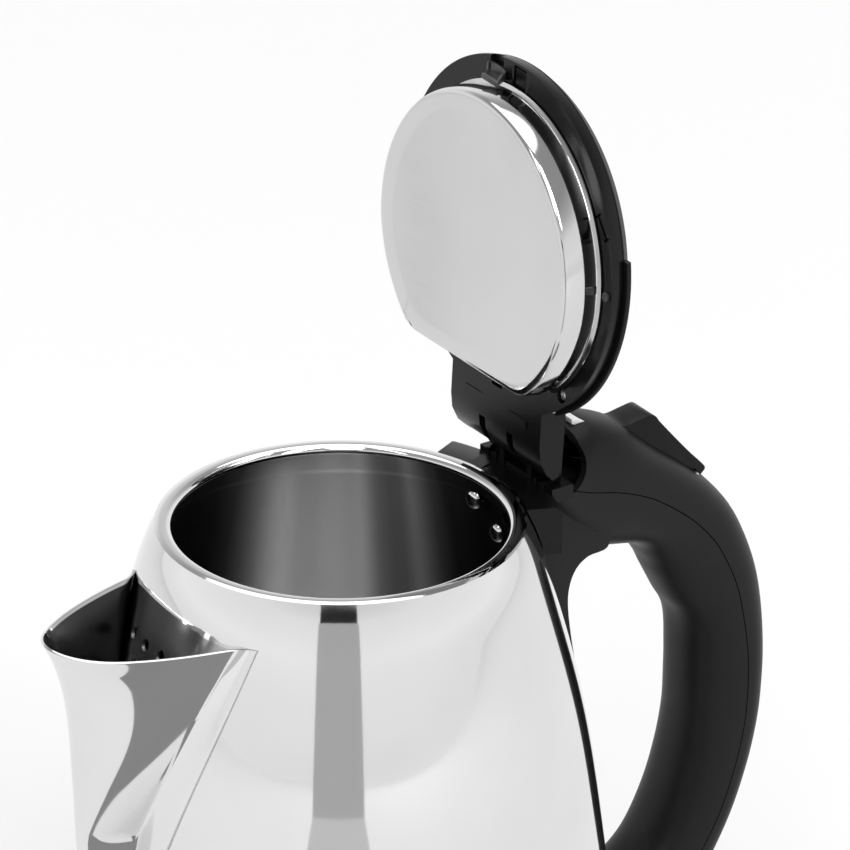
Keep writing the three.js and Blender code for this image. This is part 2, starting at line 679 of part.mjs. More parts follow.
function addBase(group) {
  const connectorClear = cylinder(21.8, 12, 40, 0, 0, 32);
  const glandOpening = glandRod(6.8, 6.8, 24, BASE_R - 4);
  addPart(group, 'power_base_shell', cut(baseShell(), glandOpening, connectorClear), black);
  const places = screwPlaces(58, 90);
  const footPlaces = screwPlaces(70, 30);
  const holes = places.map(([x, y]) => cylinder(3.6, 0, 3.55, x, y, 12));
  const seats = footPlaces.map(([x, y]) => cylinder(7.3, 0, 2.6, x, y, 16));
  const plate = cylinder(BASE_R - 2.8, FOOT_RISE, 3.5, 0, 0, SEGMENTS);
  const glandRoom = box([BASE_R - 9, -7, 0], [BASE_R + 2, 7, 10]);
  addPart(group, 'power_base_cover', cut(plate, ...holes, ...seats, glandRoom), black);
  places.forEach(([x, y], i) => {
    addPart(group, `base_screw_${i + 1}`, screw(x, y, FOOT_RISE + 0.1, 1.6, 9), aluminium);
  });
  footPlaces.forEach(([x, y], i) => {
    addPart(group, `base_foot_${i + 1}`, cylinder(7, 0, 2.3, x, y, 16), rubber);
  });
  addPart(group, 'cord_gland', cordGland(), innerBlack);
  addPart(group, 'connector_post', connectorPost(), innerBlack);
  addPart(group, 'earth_pin', cylinder(3, 20 + GAP, 33, 0, 0, 16), brass);
  addPart(group, 'live_contact_ring', ring(7.2, 8.3, 20 + GAP, 30, 24), brass);
  const wires = smooth([[76, 0, 9], [60, 3, 8], [42, 6, 8], [26, 2, 9]]);
  addPart(group, 'supply_wires', bar(wires, 2.4, 12, 6), copper);
}

function addCoupler(group) {
  const low = BASE_TOP + 2.6 - RIM_Z;
  const body = turned([
    [14.8, low], [19, low], [19, low + 3], [22.2, low + 3], [22.2, low + 5], [19, low + 5], [19, 34 - RIM_Z],
    [0, 34 - RIM_Z], [0, 33.4 - RIM_Z], [14.8, 33.4 - RIM_Z],
  ], 24);
  addPart(group, 'coupler_socket', body, innerBlack);
}

// ---------------------------------------------------------------- assembly
function addVessel(group) {
  addPart(group, 'steel_body', vesselWall(), steel);
  addPart(group, 'spout', spout(), steel);
  RIVETS.forEach((place, i) => addPart(group, `body_rivet_${i + 1}`, rivet(place), steel));
  const plateZ = -164;
  const plateR = bodyRadius(plateZ) - WALL - 1.4;
  addPart(group, 'heating_plate', ring(0, plateR, plateZ - 1.2, plateZ), brushed);
  const sealR = bodyRadius(plateZ) - WALL - GAP;
  addPart(group, 'seal_ring', ring(sealR - 4, sealR, plateZ - 4, plateZ - 1.5), silicone);
  addPart(group, 'heat_spreader', ring(26, 62, plateZ - 2.5, plateZ - 1.5, 24), aluminium);
  addPart(group, 'heating_element', heatingElement(), brushed);
  addPart(group, 'thermostat_control', ring(5, 25, 34.4 - RIM_Z, 39.5 - RIM_Z, 24), innerBlack);
}

function addUnderside(group) {
  addPart(group, 'base_skirt', baseSkirt(), black);
  addPart(group, 'underside_cover', undersideCover(), black);
  const headZ = BASE_TOP + 0.2 - RIM_Z;
  screwPlaces(60, 30).forEach(([x, y], i) => {
    addPart(group, `underside_screw_${i + 1}`, screw(x, y, headZ, 0.7, 8.1), aluminium);
  });
}

function addHandle(group) {
  addPart(group, 'handle_upper_shell', handleUpperShell(), black);
  addPart(group, 'handle_lower_grip', handleLowerGrip(), black);
  addPart(group, 'hinge_collar', hingeCollar(), innerBlack);
  addPart(group, 'hinge_pin', crossRod(1.25, -15.6, 15.6, HINGE_X, HINGE_Z), brushed);
  const lidSpring = addPart(group, 'lid_torsion_spring', coilSpring(2.1, 0.5, -5, 5, 5), brushed);
  lidSpring.position.set(HINGE_X, 0, HINGE_Z);
  lidSpring.rotation.x = Math.PI / 2;
  addPart(group, 'blank_badge', profiled(BADGE_SIDE, BADGE_HALF), badge);
  addPart(group, 'steam_tube', steamTube(), silicone);
  addPart(group, 'button_pivot_pin', crossRod(1, -7.6, 7.6, ...BUTTON_PIVOT, 10), brushed);
}

function addLatchGear(group) {
  addPart(group, 'lid_release_button', releaseButton(), black);
  const spring = addPart(group, 'button_spring', coilSpring(2.6, 0.45, -17, -0.6, 6), brushed);
  spring.position.set(102, 0, 0);
  addPart(group, 'release_slider', releaseSlider(), innerBlack);
}

function addSwitch(group) {
  addPart(group, 'switch_lever', switchLever(), black);
  addPart(group, 'switch_pivot_pin', crossRod(1, -8.6, 8.6, ...LEVER_PIVOT, 10), brushed);
  addPart(group, 'indicator_lens', box([96, -3, -177.6], [102, 3, -176]), lens);
}

function addLid(group) {
  const lid = new THREE.Group();
  lid.position.set(HINGE_X, 0, HINGE_Z);
  lid.rotation.y = LID_OPEN;
  const shut = new THREE.Group();
  shut.position.set(-HINGE_X, 0, -HINGE_Z);
  lid.add(shut);
  addPart(shut, 'lid_frame', lidFrame(), innerBlack);
  addPart(shut, 'lid_cover', lidCover(), black);
  addPart(shut, 'lid_inner_pan', lidPan(), steel);
  addPart(shut, 'lid_latch_bar', latchBar(), innerBlack);
  const spring = addPart(shut, 'lid_latch_spring', coilSpring(1.3, 0.3, 0, 9, 5), brushed);
  spring.position.set(-40, 0, 5.6);
  spring.rotation.y = Math.PI / 2;
  group.add(lid);
}

const kettle = new THREE.Group();
const vessel = new THREE.Group();
vessel.position.z = RIM_Z;
addBase(kettle);
addCoupler(vessel);
addVessel(vessel);
addUnderside(vessel);
addHandle(vessel);
addLatchGear(vessel);
addSwitch(vessel);
addLid(vessel);
kettle.add(vessel);

export default kettle;
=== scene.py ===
import json
import math

import bmesh
import bpy
import numpy as np
from mathutils import Matrix, Vector

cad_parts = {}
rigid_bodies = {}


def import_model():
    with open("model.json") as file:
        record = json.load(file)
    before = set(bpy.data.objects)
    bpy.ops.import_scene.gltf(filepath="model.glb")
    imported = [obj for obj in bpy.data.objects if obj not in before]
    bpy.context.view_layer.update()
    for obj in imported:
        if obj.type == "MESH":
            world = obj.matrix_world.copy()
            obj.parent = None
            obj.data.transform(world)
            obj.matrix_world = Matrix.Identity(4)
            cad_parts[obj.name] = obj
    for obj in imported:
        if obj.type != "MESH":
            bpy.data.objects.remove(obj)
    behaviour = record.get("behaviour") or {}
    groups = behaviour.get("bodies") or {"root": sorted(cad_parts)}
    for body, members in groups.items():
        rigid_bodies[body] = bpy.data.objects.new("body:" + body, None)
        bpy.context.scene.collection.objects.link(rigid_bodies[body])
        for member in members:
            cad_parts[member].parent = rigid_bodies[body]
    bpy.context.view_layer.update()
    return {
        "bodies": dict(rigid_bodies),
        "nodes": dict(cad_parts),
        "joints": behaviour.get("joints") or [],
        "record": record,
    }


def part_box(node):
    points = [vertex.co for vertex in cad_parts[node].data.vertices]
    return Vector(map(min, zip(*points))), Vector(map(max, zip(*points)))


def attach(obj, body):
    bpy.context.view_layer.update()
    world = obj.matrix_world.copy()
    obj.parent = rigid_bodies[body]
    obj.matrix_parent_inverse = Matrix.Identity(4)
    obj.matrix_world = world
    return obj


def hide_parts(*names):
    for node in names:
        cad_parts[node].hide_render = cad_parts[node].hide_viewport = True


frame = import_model()

# ---------------------------------------------------------------- dimensions, in mm from the rim plane
MM = 0.001
RIM_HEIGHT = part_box("steel_body")[1].z
TABLE = -RIM_HEIGHT / MM  # the table's height below the rim plane
STEEL_LOW = (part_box("steel_body")[0].z - RIM_HEIGHT) / MM
GAP = 0.3  # clearance between touching pieces
WALL = 1.0  # steel wall of the vessel
SHOULDER_Z = -12  # above this height the wall leans in, so margins also act upwards
STRAINER_ROWS = ((-27, 5), (-35, 4), (-43, 3))  # height, number of holes
STRAINER_PITCH = 8  # degrees between neighbouring holes
STEAM_HOLE_Z = -17
BEAD_DEPTH = 2.4  # height of the rolled bead at the rim
LID_R = 54.3
LID_SCREW = (39.2, 32.6)  # x, and y on either side, of the screws in the lid's underside
PAN_R = 48.8
PAN_SHIFT = 2.5  # the pan sits this far towards the hinge
PAN_LIMIT = 49.2  # radius that its corners keep inside, to pass the rim
PAN_CHORD = 40.7
PAN_FLOOR = -11.9
LID_UNDERSIDE = 1.25
FRAME_TOP = 5.4
SPOUT_LIP = -15.0
SPOUT_APEX = -137.0
SPOUT_SHEET = 0.8
COLLAR_R = 66.5
COLLAR_LOW = -16
PIVOT_BORE = 1.3  # for the pins of the button and the lever
BUTTON_HALF = 5.5
BASE_TOP = 20.0 + TABLE
BASE_R = 83
BASE_LOW = 3.8 + TABLE  # lower edge of the base's shell
BASE_WALL = 2.4
GLAND_Z = 9 + TABLE
LID_OPEN = math.radians(94.7)

hinge = next(j for j in frame["joints"] if j["name"] == "lid_hinge")
HINGE_X = hinge["pos_m"][0] / MM
HINGE_Z = (hinge["pos_m"][2] - RIM_HEIGHT) / MM
BUTTON_PIVOT = (122.9, -15.9)
LEVER_PIVOT = (84, -178.6)

BODY_OUTLINE = [
    (84.5, STEEL_LOW), (83, -150), (78.6, -108), (72.4, -61), (67, -37.5), (61.9, -18.6), (57.7, -6),
    (55.2, -0.5),
]
NOSE_LINE = [
    (103.9, SPOUT_LIP), (100.6, -20.5), (98.1, -27), (96, -36), (94.9, -46), (94.4, -62), (93.5, -88),
    (89, -115), (82.8, SPOUT_APEX),
]
# From the hinge to the foot: x, z, half width, outer thickness, inner thickness
HANDLE_STATIONS = [
    (69.5, -2, 17.5, 14.5, 8), (78.2, -5.5, 17, 18.5, 14), (90.2, -9.1, 16.5, 17.8, 20.5),
    (101.5, -14.4, 16, 13.8, 19.5), (111.9, -21.9, 15.5, 13, 15.5), (119.4, -28.8, 15, 13, 16.5),
    (126.2, -37.6, 15, 12.8, 18), (132.2, -50.5, 15, 12, 17.6), (135.1, -62.7, 15, 11.4, 15.2),
    (136.9, -76, 15, 10.2, 16.2), (136.9, -88, 15, 9.6, 16.4), (135.6, -100, 15, 9.2, 15.8),
    (131.9, -114, 15, 9, 15), (125.6, -129, 15, 9, 14), (115.8, -143, 15, 9.8, 12.5),
    (102.9, -152.5, 15, 10.6, 11.5), (90.4, -158, 15, 11.5, 11), (79, -159.5, 15, 11.5, 11),
]
HANDLE_SHELL = 2.5  # moulded wall of the handle's halves
HANDLE_SPAN = 6  # rings between two stations
HANDLE_SQUARENESS = 0.8  # 1 is an ellipse, less is squarer
RIVETS = [(12, -13), (-12, -13), (6.5, -23.5), (-6.5, -23.5)]  # degrees round the axis, height
BUTTON_OUTLINE = [
    (92.6, 8.2), (98.2, 6.3), (103.6, 6.9), (107.9, 7.4), (109.9, 6.2), (111.1, 4.4), (116.3, -2),
    (121.7, -8.4), (127.1, -14.4), (127.3, -16), (123.4, -19.5), (119.4, -17), (109.9, -8),
    (101.3, -1.5), (92.6, 3.5),
]
BUTTON_TOP_POINTS = 10  # the outline's first points, over the crest to the pivot, are smoothed
BUTTON_HOLLOW = [(94.4, 3), (119.3, -18), (115.8, -9), (106.3, 0.5), (94.4, 5.5)]
# Painted highlight: a white piece on the handle's top, where its glossy top face shows a highlight.
PAINTED_HIGHLIGHT_SIDE = [(79.5, 11.9), (91, 7.4), (91, 9), (79.5, 13.6)]
PAINTED_HIGHLIGHT_HALF = 5
HANDLE_STRIP = [
    (66, -9), (84, -12), (88, -20), (87, -27.4), (80, -28.6), (75.6, -31.6), (73.2, -37), (72.8, -44),
    (74.3, -56), (77.2, -72), (79.4, -88), (79.8, -98), (76, -98), (66, -60), (60, -30),
]
TONGUE_SIDE = [
    (44, LID_UNDERSIDE), (60, 1.6), (64.9, 2.4), (69.2, 4.8), (71.4, 7.4), (70.4, 9.5), (44, 9.5),
]
TONGUE_HALF = 23.3
KNUCKLE_HALF = 16
EAR_Y = 7.2  # the two ears of the hinge stand this far from the middle
PIN_BORE = 1.55


# ---------------------------------------------------------------- mesh tools
def catmull(points, per_span):
    """Points along a smooth curve through the given points of any dimension."""
    out = []
    last = len(points) - 1
    for i in range(last):
        p0, p1 = points[max(i - 1, 0)], points[i]
        p2, p3 = points[i + 1], points[min(i + 2, last)]
        for k in range(per_span):
            t = k / per_span
            out.append(tuple(
                0.5 * (
                    2 * b + (c - a) * t + (2 * a - 5 * b + 4 * c - d) * t ** 2
                    + (3 * b - a - 3 * c + d) * t ** 3
                )
                for a, b, c, d in zip(p0, p1, p2, p3)
            ))
    out.append(tuple(points[-1]))
    return out


def solid(name, points, faces):
    """An object from points in mm above the rim plane, cleaned and with its faces outward."""
    mesh = bpy.data.meshes.new(name)
    mesh.from_pydata([(x * MM, y * MM, RIM_HEIGHT + z * MM) for x, y, z in points], [], faces)
    work = bmesh.new()
    work.from_mesh(mesh)
    bmesh.ops.remove_doubles(work, verts=work.verts, dist=2e-6)
    bmesh.ops.dissolve_degenerate(work, edges=work.edges, dist=1e-7)
    bmesh.ops.recalc_face_normals(work, faces=work.faces)
    work.to_mesh(mesh)
    work.free()
    piece = bpy.data.objects.new(name, mesh)
    bpy.context.scene.collection.objects.link(piece)
    return piece


def loft(name, rings, wrap=False):
    """A solid through closed rings of points, capped at its two ends unless it wraps round."""
    count = len(rings[0])
    points = [p for ring in rings for p in ring]
    faces = []
    spans = len(rings) if wrap else len(rings) - 1
    for i in range(spans):
        low, high = i * count, ((i + 1) % len(rings)) * count
        for j in range(count):
            k = (j + 1) % count
            faces.append((low + j, low + k, high + k, high + j))
    if not wrap:
        faces.append(tuple(range(count)))
        faces.append(tuple(range(len(points) - count, len(points))))
    return solid(name, points, faces)


def turned(name, profile, segments=160, centre=(0, 0)):
    """A closed profile of (radius, height) turned round the vertical through centre."""
    rings = []
    for i in range(segments):
        angle = math.tau * i / segments
        cos, sin = math.cos(angle), math.sin(angle)
        rings.append([(centre[0] + r * cos, centre[1] + r * sin, z) for r, z in profile])
    return loft(name, rings, wrap=True)


def swept_arc(name, profile, half_degrees, segments=48):
    """A closed profile of (radius, height) swept round the +X side of the axis."""
    rings = []
    for i in range(segments + 1):
        angle = math.radians(half_degrees) * (2 * i / segments - 1)
        rings.append([(r * math.cos(angle), r * math.sin(angle), z) for r, z in profile])
    return loft(name, rings)


def prism(name, outline, half, centre=0):
    """A side outline of (x, z) given a thickness across the kettle."""
    rings = [[(x, y, z) for x, z in outline] for y in (centre - half, centre + half)]
    return loft(name, rings)


def plate(name, outline, low, high):
    """A plan outline of (x, y) given a height."""
    return loft(name, [[(x, y, z) for x, y in outline] for z in (low, high)])


def block(name, low, high):
    """A box between two opposite corners."""
    outline = [(low[0], low[1]), (high[0], low[1]), (high[0], high[1]), (low[0], high[1])]
    return plate(name, outline, low[2], high[2])


def rod(name, radius, start, end, segments=32):
    """A round rod between two points."""
    start, end = Vector(start), Vector(end)
    turn = (end - start).to_track_quat("Z", "Y")
    rings = []
    for base in (start, end):
        ring = []
        for i in range(segments):
            angle = math.tau * i / segments
            ring.append(tuple(base + turn @ Vector((radius * math.cos(angle), radius * math.sin(angle), 0))))
        rings.append(ring)
    return loft(name, rings)


def cross_rod(name, radius, half, x, z, centre=0, segments=48):
    """A rod across the kettle, at a point of its side view."""
    return rod(name, radius, (x, centre - half, z), (x, centre + half, z), segments)


def radial_rod(name, radius, start, end, degrees, z, segments=24):
    """A level rod that points away from the axis, between two distances from it."""
    cos, sin = math.cos(math.radians(degrees)), math.sin(math.radians(degrees))
    return rod(name, radius, (start * cos, start * sin, z), (end * cos, end * sin, z), segments)


def settle(piece):
    """Applies a piece's modifiers to its mesh."""
    graph = bpy.context.evaluated_depsgraph_get()
    mesh = bpy.data.meshes.new_from_object(piece.evaluated_get(graph))
    piece.modifiers.clear()
    piece.data = mesh


def combine(piece, operation, others):
    """Joins other pieces to a piece, or cuts them from it, and uses them up."""
    for other in others:
        step = piece.modifiers.new(operation, "BOOLEAN")
        step.operation = operation
        step.solver = "EXACT"
        step.object = other
    settle(piece)
    for other in others:
        bpy.data.objects.remove(other)
    return piece


def cut(piece, *others):
    return combine(piece, "DIFFERENCE", others)


def join(piece, *others):
    return combine(piece, "UNION", others)


def round_edges(piece, width, segments=3, angle=28):
    """Rounds the sharp edges of a piece by a width in mm."""
    step = piece.modifiers.new("round", "BEVEL")
    step.width = width * MM
    step.segments = segments
    step.limit_method = "ANGLE"
    step.angle_limit = math.radians(angle)
    step.use_clamp_overlap = True
    step.harden_normals = False
    settle(piece)
    return piece


def dress(piece, material, body, slot, *nodes, crease=32):
    """Shades a piece, gives it its material or materials and ties it to the frame."""
    work = bmesh.new()
    work.from_mesh(piece.data)
    for face in work.faces:
        face.smooth = True
    for edge in work.edges:
        edge.smooth = len(edge.link_faces) != 2 or edge.calc_face_angle(0) < math.radians(crease)
    work.to_mesh(piece.data)
    work.free()
    piece.data.materials.clear()
    for one in material if isinstance(material, tuple) else (material,):
        piece.data.materials.append(one)
    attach(piece, body)
    if nodes:
        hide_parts(*nodes)


# ---------------------------------------------------------------- materials
def new_material(name):
    material = bpy.data.materials.new(name)
    material.use_nodes = True
    nodes = material.node_tree.nodes
    return material, nodes, material.node_tree.links, nodes["Principled BSDF"]


def ramp(nodes, stops):
    """A colour ramp through (place, grey value or colour) stops."""
    node = nodes.new("ShaderNodeValToRGB")
    elements = node.color_ramp.elements
    while len(elements) < len(stops):
        elements.new(0.5)
    for element, (place, value) in zip(elements, stops):
        element.position = place
        element.color = (value, value, value, 1) if isinstance(value, float) else (*value, 1)
    return node


def object_noise(nodes, links, scale, detail=4.0, stretch=(1, 1, 1)):
    where = nodes.new("ShaderNodeTexCoord")
    mapping = nodes.new("ShaderNodeMapping")
    mapping.inputs["Scale"].default_value = stretch
    noise = nodes.new("ShaderNodeTexNoise")
    noise.inputs["Scale"].default_value = scale
    noise.inputs["Detail"].default_value = detail
    links.new(where.outputs["Object"], mapping.inputs["Vector"])
    links.new(mapping.outputs["Vector"], noise.inputs["Vector"])
    return noise


def span(nodes, links, source, low, high):
    """Maps a 0 to 1 value to a range."""
    node = nodes.new("ShaderNodeMapRange")
    node.inputs["To Min"].default_value = low
    node.inputs["To Max"].default_value = high
    links.new(source, node.inputs["Value"])
    return node.outputs["Result"]


def bump(nodes, links, source, shader, strength, distance):
    node = nodes.new("ShaderNodeBump")
    node.inputs["Strength"].default_value = strength
    node.inputs["Distance"].default_value = distance
    links.new(source, node.inputs["Height"])
    links.new(node.outputs["Normal"], shader.inputs["Normal"])


METAL_CLOUDS, PLASTIC_CLOUDS, WAVES = 22.0, 35.0, 60.0  # scales of the broad noises


def metal(name, colours, roughness, grain_scale, stretch, grain_height, wave_height=0.0, lathe=0.0):
    """A bare metal: faint cloudy tone, grain along one direction and slight roughness change."""
    material, nodes, links, shader = new_material(name)
    shader.inputs["Metallic"].default_value = 1.0
    clouds = object_noise(nodes, links, METAL_CLOUDS, 3.0)
    tone = ramp(nodes, [(0.3, colours[0]), (0.7, colours[1])])
    links.new(clouds.outputs["Fac"], tone.inputs["Fac"])
    links.new(tone.outputs["Color"], shader.inputs["Base Color"])
    grain = object_noise(nodes, links, grain_scale, 6.0, stretch)
    links.new(span(nodes, links, grain.outputs["Fac"], *roughness), shader.inputs["Roughness"])
    height = grain.outputs["Fac"]
    if wave_height:
        waves = object_noise(nodes, links, WAVES, 2.0)
        mix = nodes.new("ShaderNodeMath")
        mix.operation = "MULTIPLY_ADD"
        mix.inputs[1].default_value = wave_height
        links.new(waves.outputs["Fac"], mix.inputs[0])
        links.new(grain.outputs["Fac"], mix.inputs[2])
        height = mix.outputs["Value"]
    bump(nodes, links, height, shader, 0.25, grain_height)
    if lathe:
        shader.inputs["Anisotropic"].default_value = lathe
        shader.inputs["Anisotropic Rotation"].default_value = 0.25
        around = nodes.new("ShaderNodeTangent")
        around.direction_type = "RADIAL"
        around.axis = "Z"
        links.new(around.outputs["Tangent"], shader.inputs["Tangent"])
    return material


# Painted reflections and shade of the lathe-polished inside: how bright its colour is made at each angle
# round the axis, in degrees.
INSIDE_PAINTED_LIGHT_BANDS = [
    (-180, 0.3), (-165, 0.5), (-150, 0.3), (-130, 0.42), (-110, 0.18), (-90, 0.3), (-70, 0.12),
    (-45, 0.05), (-20, 0.03), (2, 0.03), (15, 0.04), (25, 0.08), (30, 0.27), (36, 0.9), (39, 0.5),
    (42, 0.42), (46, 0.5), (50, 1.0), (54, 0.85), (61, 0.95), (67, 0.9), (71, 1.0), (77, 0.8),
    (82, 0.5), (87, 0.2), (94, 0.09), (109, 0.05), (120, 0.04), (140, 0.12), (155, 0.35),
    (168, 0.22), (180, 0.3),
]
# The same for the spout's inside: painted shade, darkest on the side towards +Y, while the side towards -Y
# is left bright as if lit.
SPOUT_PAINTED_SHADE_BANDS = [
    (-180, 0.5), (-172, 0.9), (-140, 0.9), (0, 0.4), (140, 0.1), (165, 0.12), (176, 0.25), (180, 0.5),
]


def paint_light_bands(material, bands):
    """Paints light and shade into a material's colour: darkens it in upright bands that depend only on the
    angle round the axis.
    """
    nodes, links = material.node_tree.nodes, material.node_tree.links
    shader = nodes["Principled BSDF"]
    where = nodes.new("ShaderNodeTexCoord")
    axes = nodes.new("ShaderNodeSeparateXYZ")
    links.new(where.outputs["Object"], axes.inputs["Vector"])
    angle = nodes.new("ShaderNodeMath")
    angle.operation = "ARCTAN2"
    links.new(axes.outputs["Y"], angle.inputs[0])
    links.new(axes.outputs["X"], angle.inputs[1])
    share = nodes.new("ShaderNodeMapRange")
    share.inputs["From Min"].default_value = -math.pi
    share.inputs["From Max"].default_value = math.pi
    links.new(angle.outputs["Value"], share.inputs["Value"])
    tone = ramp(nodes, [((degrees + 180) / 360, value) for degrees, value in bands])
    links.new(share.outputs["Result"], tone.inputs["Fac"])
    mix = nodes.new("ShaderNodeMix")
    mix.data_type = "RGBA"
    mix.blend_type = "MULTIPLY"
    mix.inputs["Factor"].default_value = 1.0
    links.new(shader.inputs["Base Color"].links[0].from_socket, mix.inputs[6])
    links.new(tone.outputs["Color"], mix.inputs[7])
    links.new(mix.outputs[2], shader.inputs["Base Color"])


def plastic(name, colours, roughness, grain_scale, grain_height, specular=0.5, grain_strength=0.4):
    """A moulded plastic: fine surface grain, slight changes of tone and sheen."""
    material, nodes, links, shader = new_material(name)
    shader.inputs["Specular IOR Level"].default_value = specular
    clouds = object_noise(nodes, links, PLASTIC_CLOUDS, 5.0)
    tone = ramp(nodes, [(0.3, colours[0]), (0.7, colours[1])])
    links.new(clouds.outputs["Fac"], tone.inputs["Fac"])
    links.new(tone.outputs["Color"], shader.inputs["Base Color"])
    links.new(span(nodes, links, clouds.outputs["Fac"], *roughness), shader.inputs["Roughness"])
    grain = object_noise(nodes, links, grain_scale, 3.0)
    bump(nodes, links, grain.outputs["Fac"], shader, grain_strength, grain_height)
    return material


# Metals are given by colours, roughness, grain scale, grain stretch, grain height and wave height;
# plastics by colours, roughness, grain scale, grain height, specular level and grain strength.
polished = metal("polished_steel", (0.69, 0.73), (0.035, 0.075), 900.0, (1, 1, 0.05), 0.000004, 2.0)
catch_plastic = plastic("catch_plastic", (0.02, 0.03), (0.26, 0.4), 900.0, 0.00001, 0.6)
# The inside's colour carries painted reflections and shade in upright bands.
inner_steel_painted_light = metal("brushed_inside_painted_light", (0.95, 1.0), (0.32, 0.4), 900.0, (1, 1, 0.02), 0.00001, lathe=0.95)
paint_light_bands(inner_steel_painted_light, INSIDE_PAINTED_LIGHT_BANDS)
# The spout's inside carries painted shade, darkest on its +Y side.
spout_inner_painted_shade = metal("spout_inside_painted_shade", (0.55, 0.62), (0.2, 0.28), 700.0, (1, 1, 0.02), 0.00001)
paint_light_bands(spout_inner_painted_shade, SPOUT_PAINTED_SHADE_BANDS)
pan_steel = metal("pan_steel", (0.6, 0.64), (0.07, 0.12), 900.0, (1, 0.05, 1), 0.000004, 2.0)
brushed = metal("brushed_steel", (0.42, 0.5), (0.25, 0.4), 600.0, (1, 1, 0.03), 0.00002)
aluminium = metal("bare_aluminium", (0.5, 0.58), (0.35, 0.5), 500.0, (1, 1, 0.1), 0.00002)
zinc = metal("zinc_screw", (0.45, 0.55), (0.25, 0.4), 800.0, (1, 1, 1), 0.00002)
BRASS_TONES = ((0.45, 0.3, 0.1), (0.55, 0.38, 0.14))
brass = metal("contact_brass", BRASS_TONES, (0.25, 0.4), 700.0, (1, 1, 0.1), 0.00001)
satin = plastic("black_satin_plastic", (0.0035, 0.0055), (0.38, 0.48), 2600.0, 0.00003, 0.2, 0.35)
gloss = plastic("black_gloss_plastic", (0.0025, 0.004), (0.2, 0.3), 900.0, 0.00001, 0.16, 0.15)
moulded = plastic("black_moulded_plastic", (0.0025, 0.004), (0.24, 0.34), 1500.0, 0.00002, 0.2, 0.25)
rubber = plastic("foot_rubber", (0.018, 0.028), (0.75, 0.9), 1400.0, 0.00005, 0.3)
silicone = plastic("silicone", ((0.62, 0.6, 0.56), (0.72, 0.7, 0.66)), (0.5, 0.65), 900.0, 0.00003, 0.4)
wire = plastic("wire_insulation", ((0.3, 0.09, 0.04), (0.38, 0.13, 0.06)), (0.35, 0.5), 900.0, 0.00003)
# White of the painted highlight on the handle's top.
painted_highlight_white = plastic("white_label", (0.78, 0.86), (0.4, 0.5), 1200.0, 0.00001, 0.4, 0.1)
lens_red = plastic("red_lens", ((0.45, 0.03, 0.015), (0.55, 0.05, 0.02)), (0.1, 0.18), 600.0, 0.00001)


# ---------------------------------------------------------------- vessel
def flowing(outline, count, crowding=1.6):
    """Points along the natural cubic spline of radius against height, closer together near the top."""
    heights = np.array([z for r, z in outline])
    radii = np.array([r for r, z in outline])
    gaps = np.diff(heights)
    slopes = np.diff(radii) / gaps
    system = np.eye(len(heights))
    target = np.zeros(len(heights))
    for i in range(1, len(heights) - 1):
        system[i, i - 1:i + 2] = gaps[i - 1], 2 * (gaps[i - 1] + gaps[i]), gaps[i]
        target[i] = 6 * (slopes[i] - slopes[i - 1])
    bends = np.linalg.solve(system, target)
    line = []
    for k in range(count + 1):
        share = 1 - (1 - k / count) ** crowding
        z = heights[0] + (heights[-1] - heights[0]) * share
        i = min(max(int(np.searchsorted(heights, z)) - 1, 0), len(gaps) - 1)
        a, b, h = heights[i + 1] - z, z - heights[i], gaps[i]
        r = (bends[i] * a ** 3 + bends[i + 1] * b ** 3) / (6 * h)
        r += (radii[i] / h - bends[i] * h / 6) * a + (radii[i + 1] / h - bends[i + 1] * h / 6) * b
        line.append((float(r), float(z)))
    return line


BODY_CURVE = flowing(BODY_OUTLINE, 84)


def body_radius(z):
    """The vessel's outer radius at a height."""
    return float(np.interp(z, [p[1] for p in BODY_CURVE], [p[0] for p in BODY_CURVE]))


def body_plug(name, margin):
    """The vessel's outside as one plug, grown by a margin, for cutting pieces that lie on it."""
    side = [(r + margin, z + (margin if z > SHOULDER_Z else 0)) for r, z in BODY_CURVE[::3]]
    low = STEEL_LOW - 9
    high = side[-1][1] + 6
    return turned(name, [(0, low), (side[0][0], low), *side, (side[-1][0], high), (0, high)], 96)


def make_vessel():
    crest = catmull([
        BODY_CURVE[-1], (54, -0.08), (52.6, 0), (51.5, -0.1), (50.55, -0.6), (50, -1.5), (50.25, -2.5),
        (51, -3),
    ], 5)
    inside = [(r - WALL, z - (WALL * 0.9 if z > SHOULDER_Z else 0)) for r, z in BODY_CURVE[:-6]]
    profile = [*BODY_CURVE, *crest[1:], *reversed(inside)]
    body = turned("vessel_wall", profile, 192)
    holes = []
    for z, count in STRAINER_ROWS:
        for i in range(count):
            angle = 180 + STRAINER_PITCH * (i - (count - 1) / 2)
            reach = body_radius(z)
            holes.append(radial_rod("hole", 2, reach - 4, reach + 3, angle, z))
    holes += [radial_rod("hole", 2.3, 50, 75, angle, z) for angle, z in RIVETS]
    holes.append(radial_rod("hole", 3, 55, 72, 0, STEAM_HOLE_Z))
    cut(body, join(*holes))
    dress(body, (polished, inner_steel_painted_light), "kettle", "polished_steel", "steel_body", crease=40)
    for face in body.data.polygons:
        outward = face.normal.x * face.center.x + face.normal.y * face.center.y
        low = face.center.z < RIM_HEIGHT - BEAD_DEPTH * MM
        face.material_index = 1 if outward < 0 and low else 0


def make_rivets():
    for i, (angle, z) in enumerate(RIVETS):
        lean = 2.4 if z > -20 else 1.3  # the wall slopes more near the mouth
        seat = body_radius(z) - WALL - lean
        sides = 28
        rings = []
        profile = [(0, 1.6), (1.6, 1.5), (2.5, 1.05), (3.1, 0.3), (3.1, 0), (2, 0), (2, -1.5)]
        cos, sin = math.cos(math.radians(angle)), math.sin(math.radians(angle))
        for r, out in profile:
            ring = []
            for k in range(sides):
                turn = math.tau * k / sides
                reach = seat - out
                across = r * math.cos(turn)
                ring.append((reach * cos - across * sin, reach * sin + across * cos, z + r * math.sin(turn)))
            rings.append(ring)
        head = loft(f"rivet_{i + 1}", rings)
        dress(head, polished, "kettle", "polished_steel", f"body_rivet_{i + 1}")


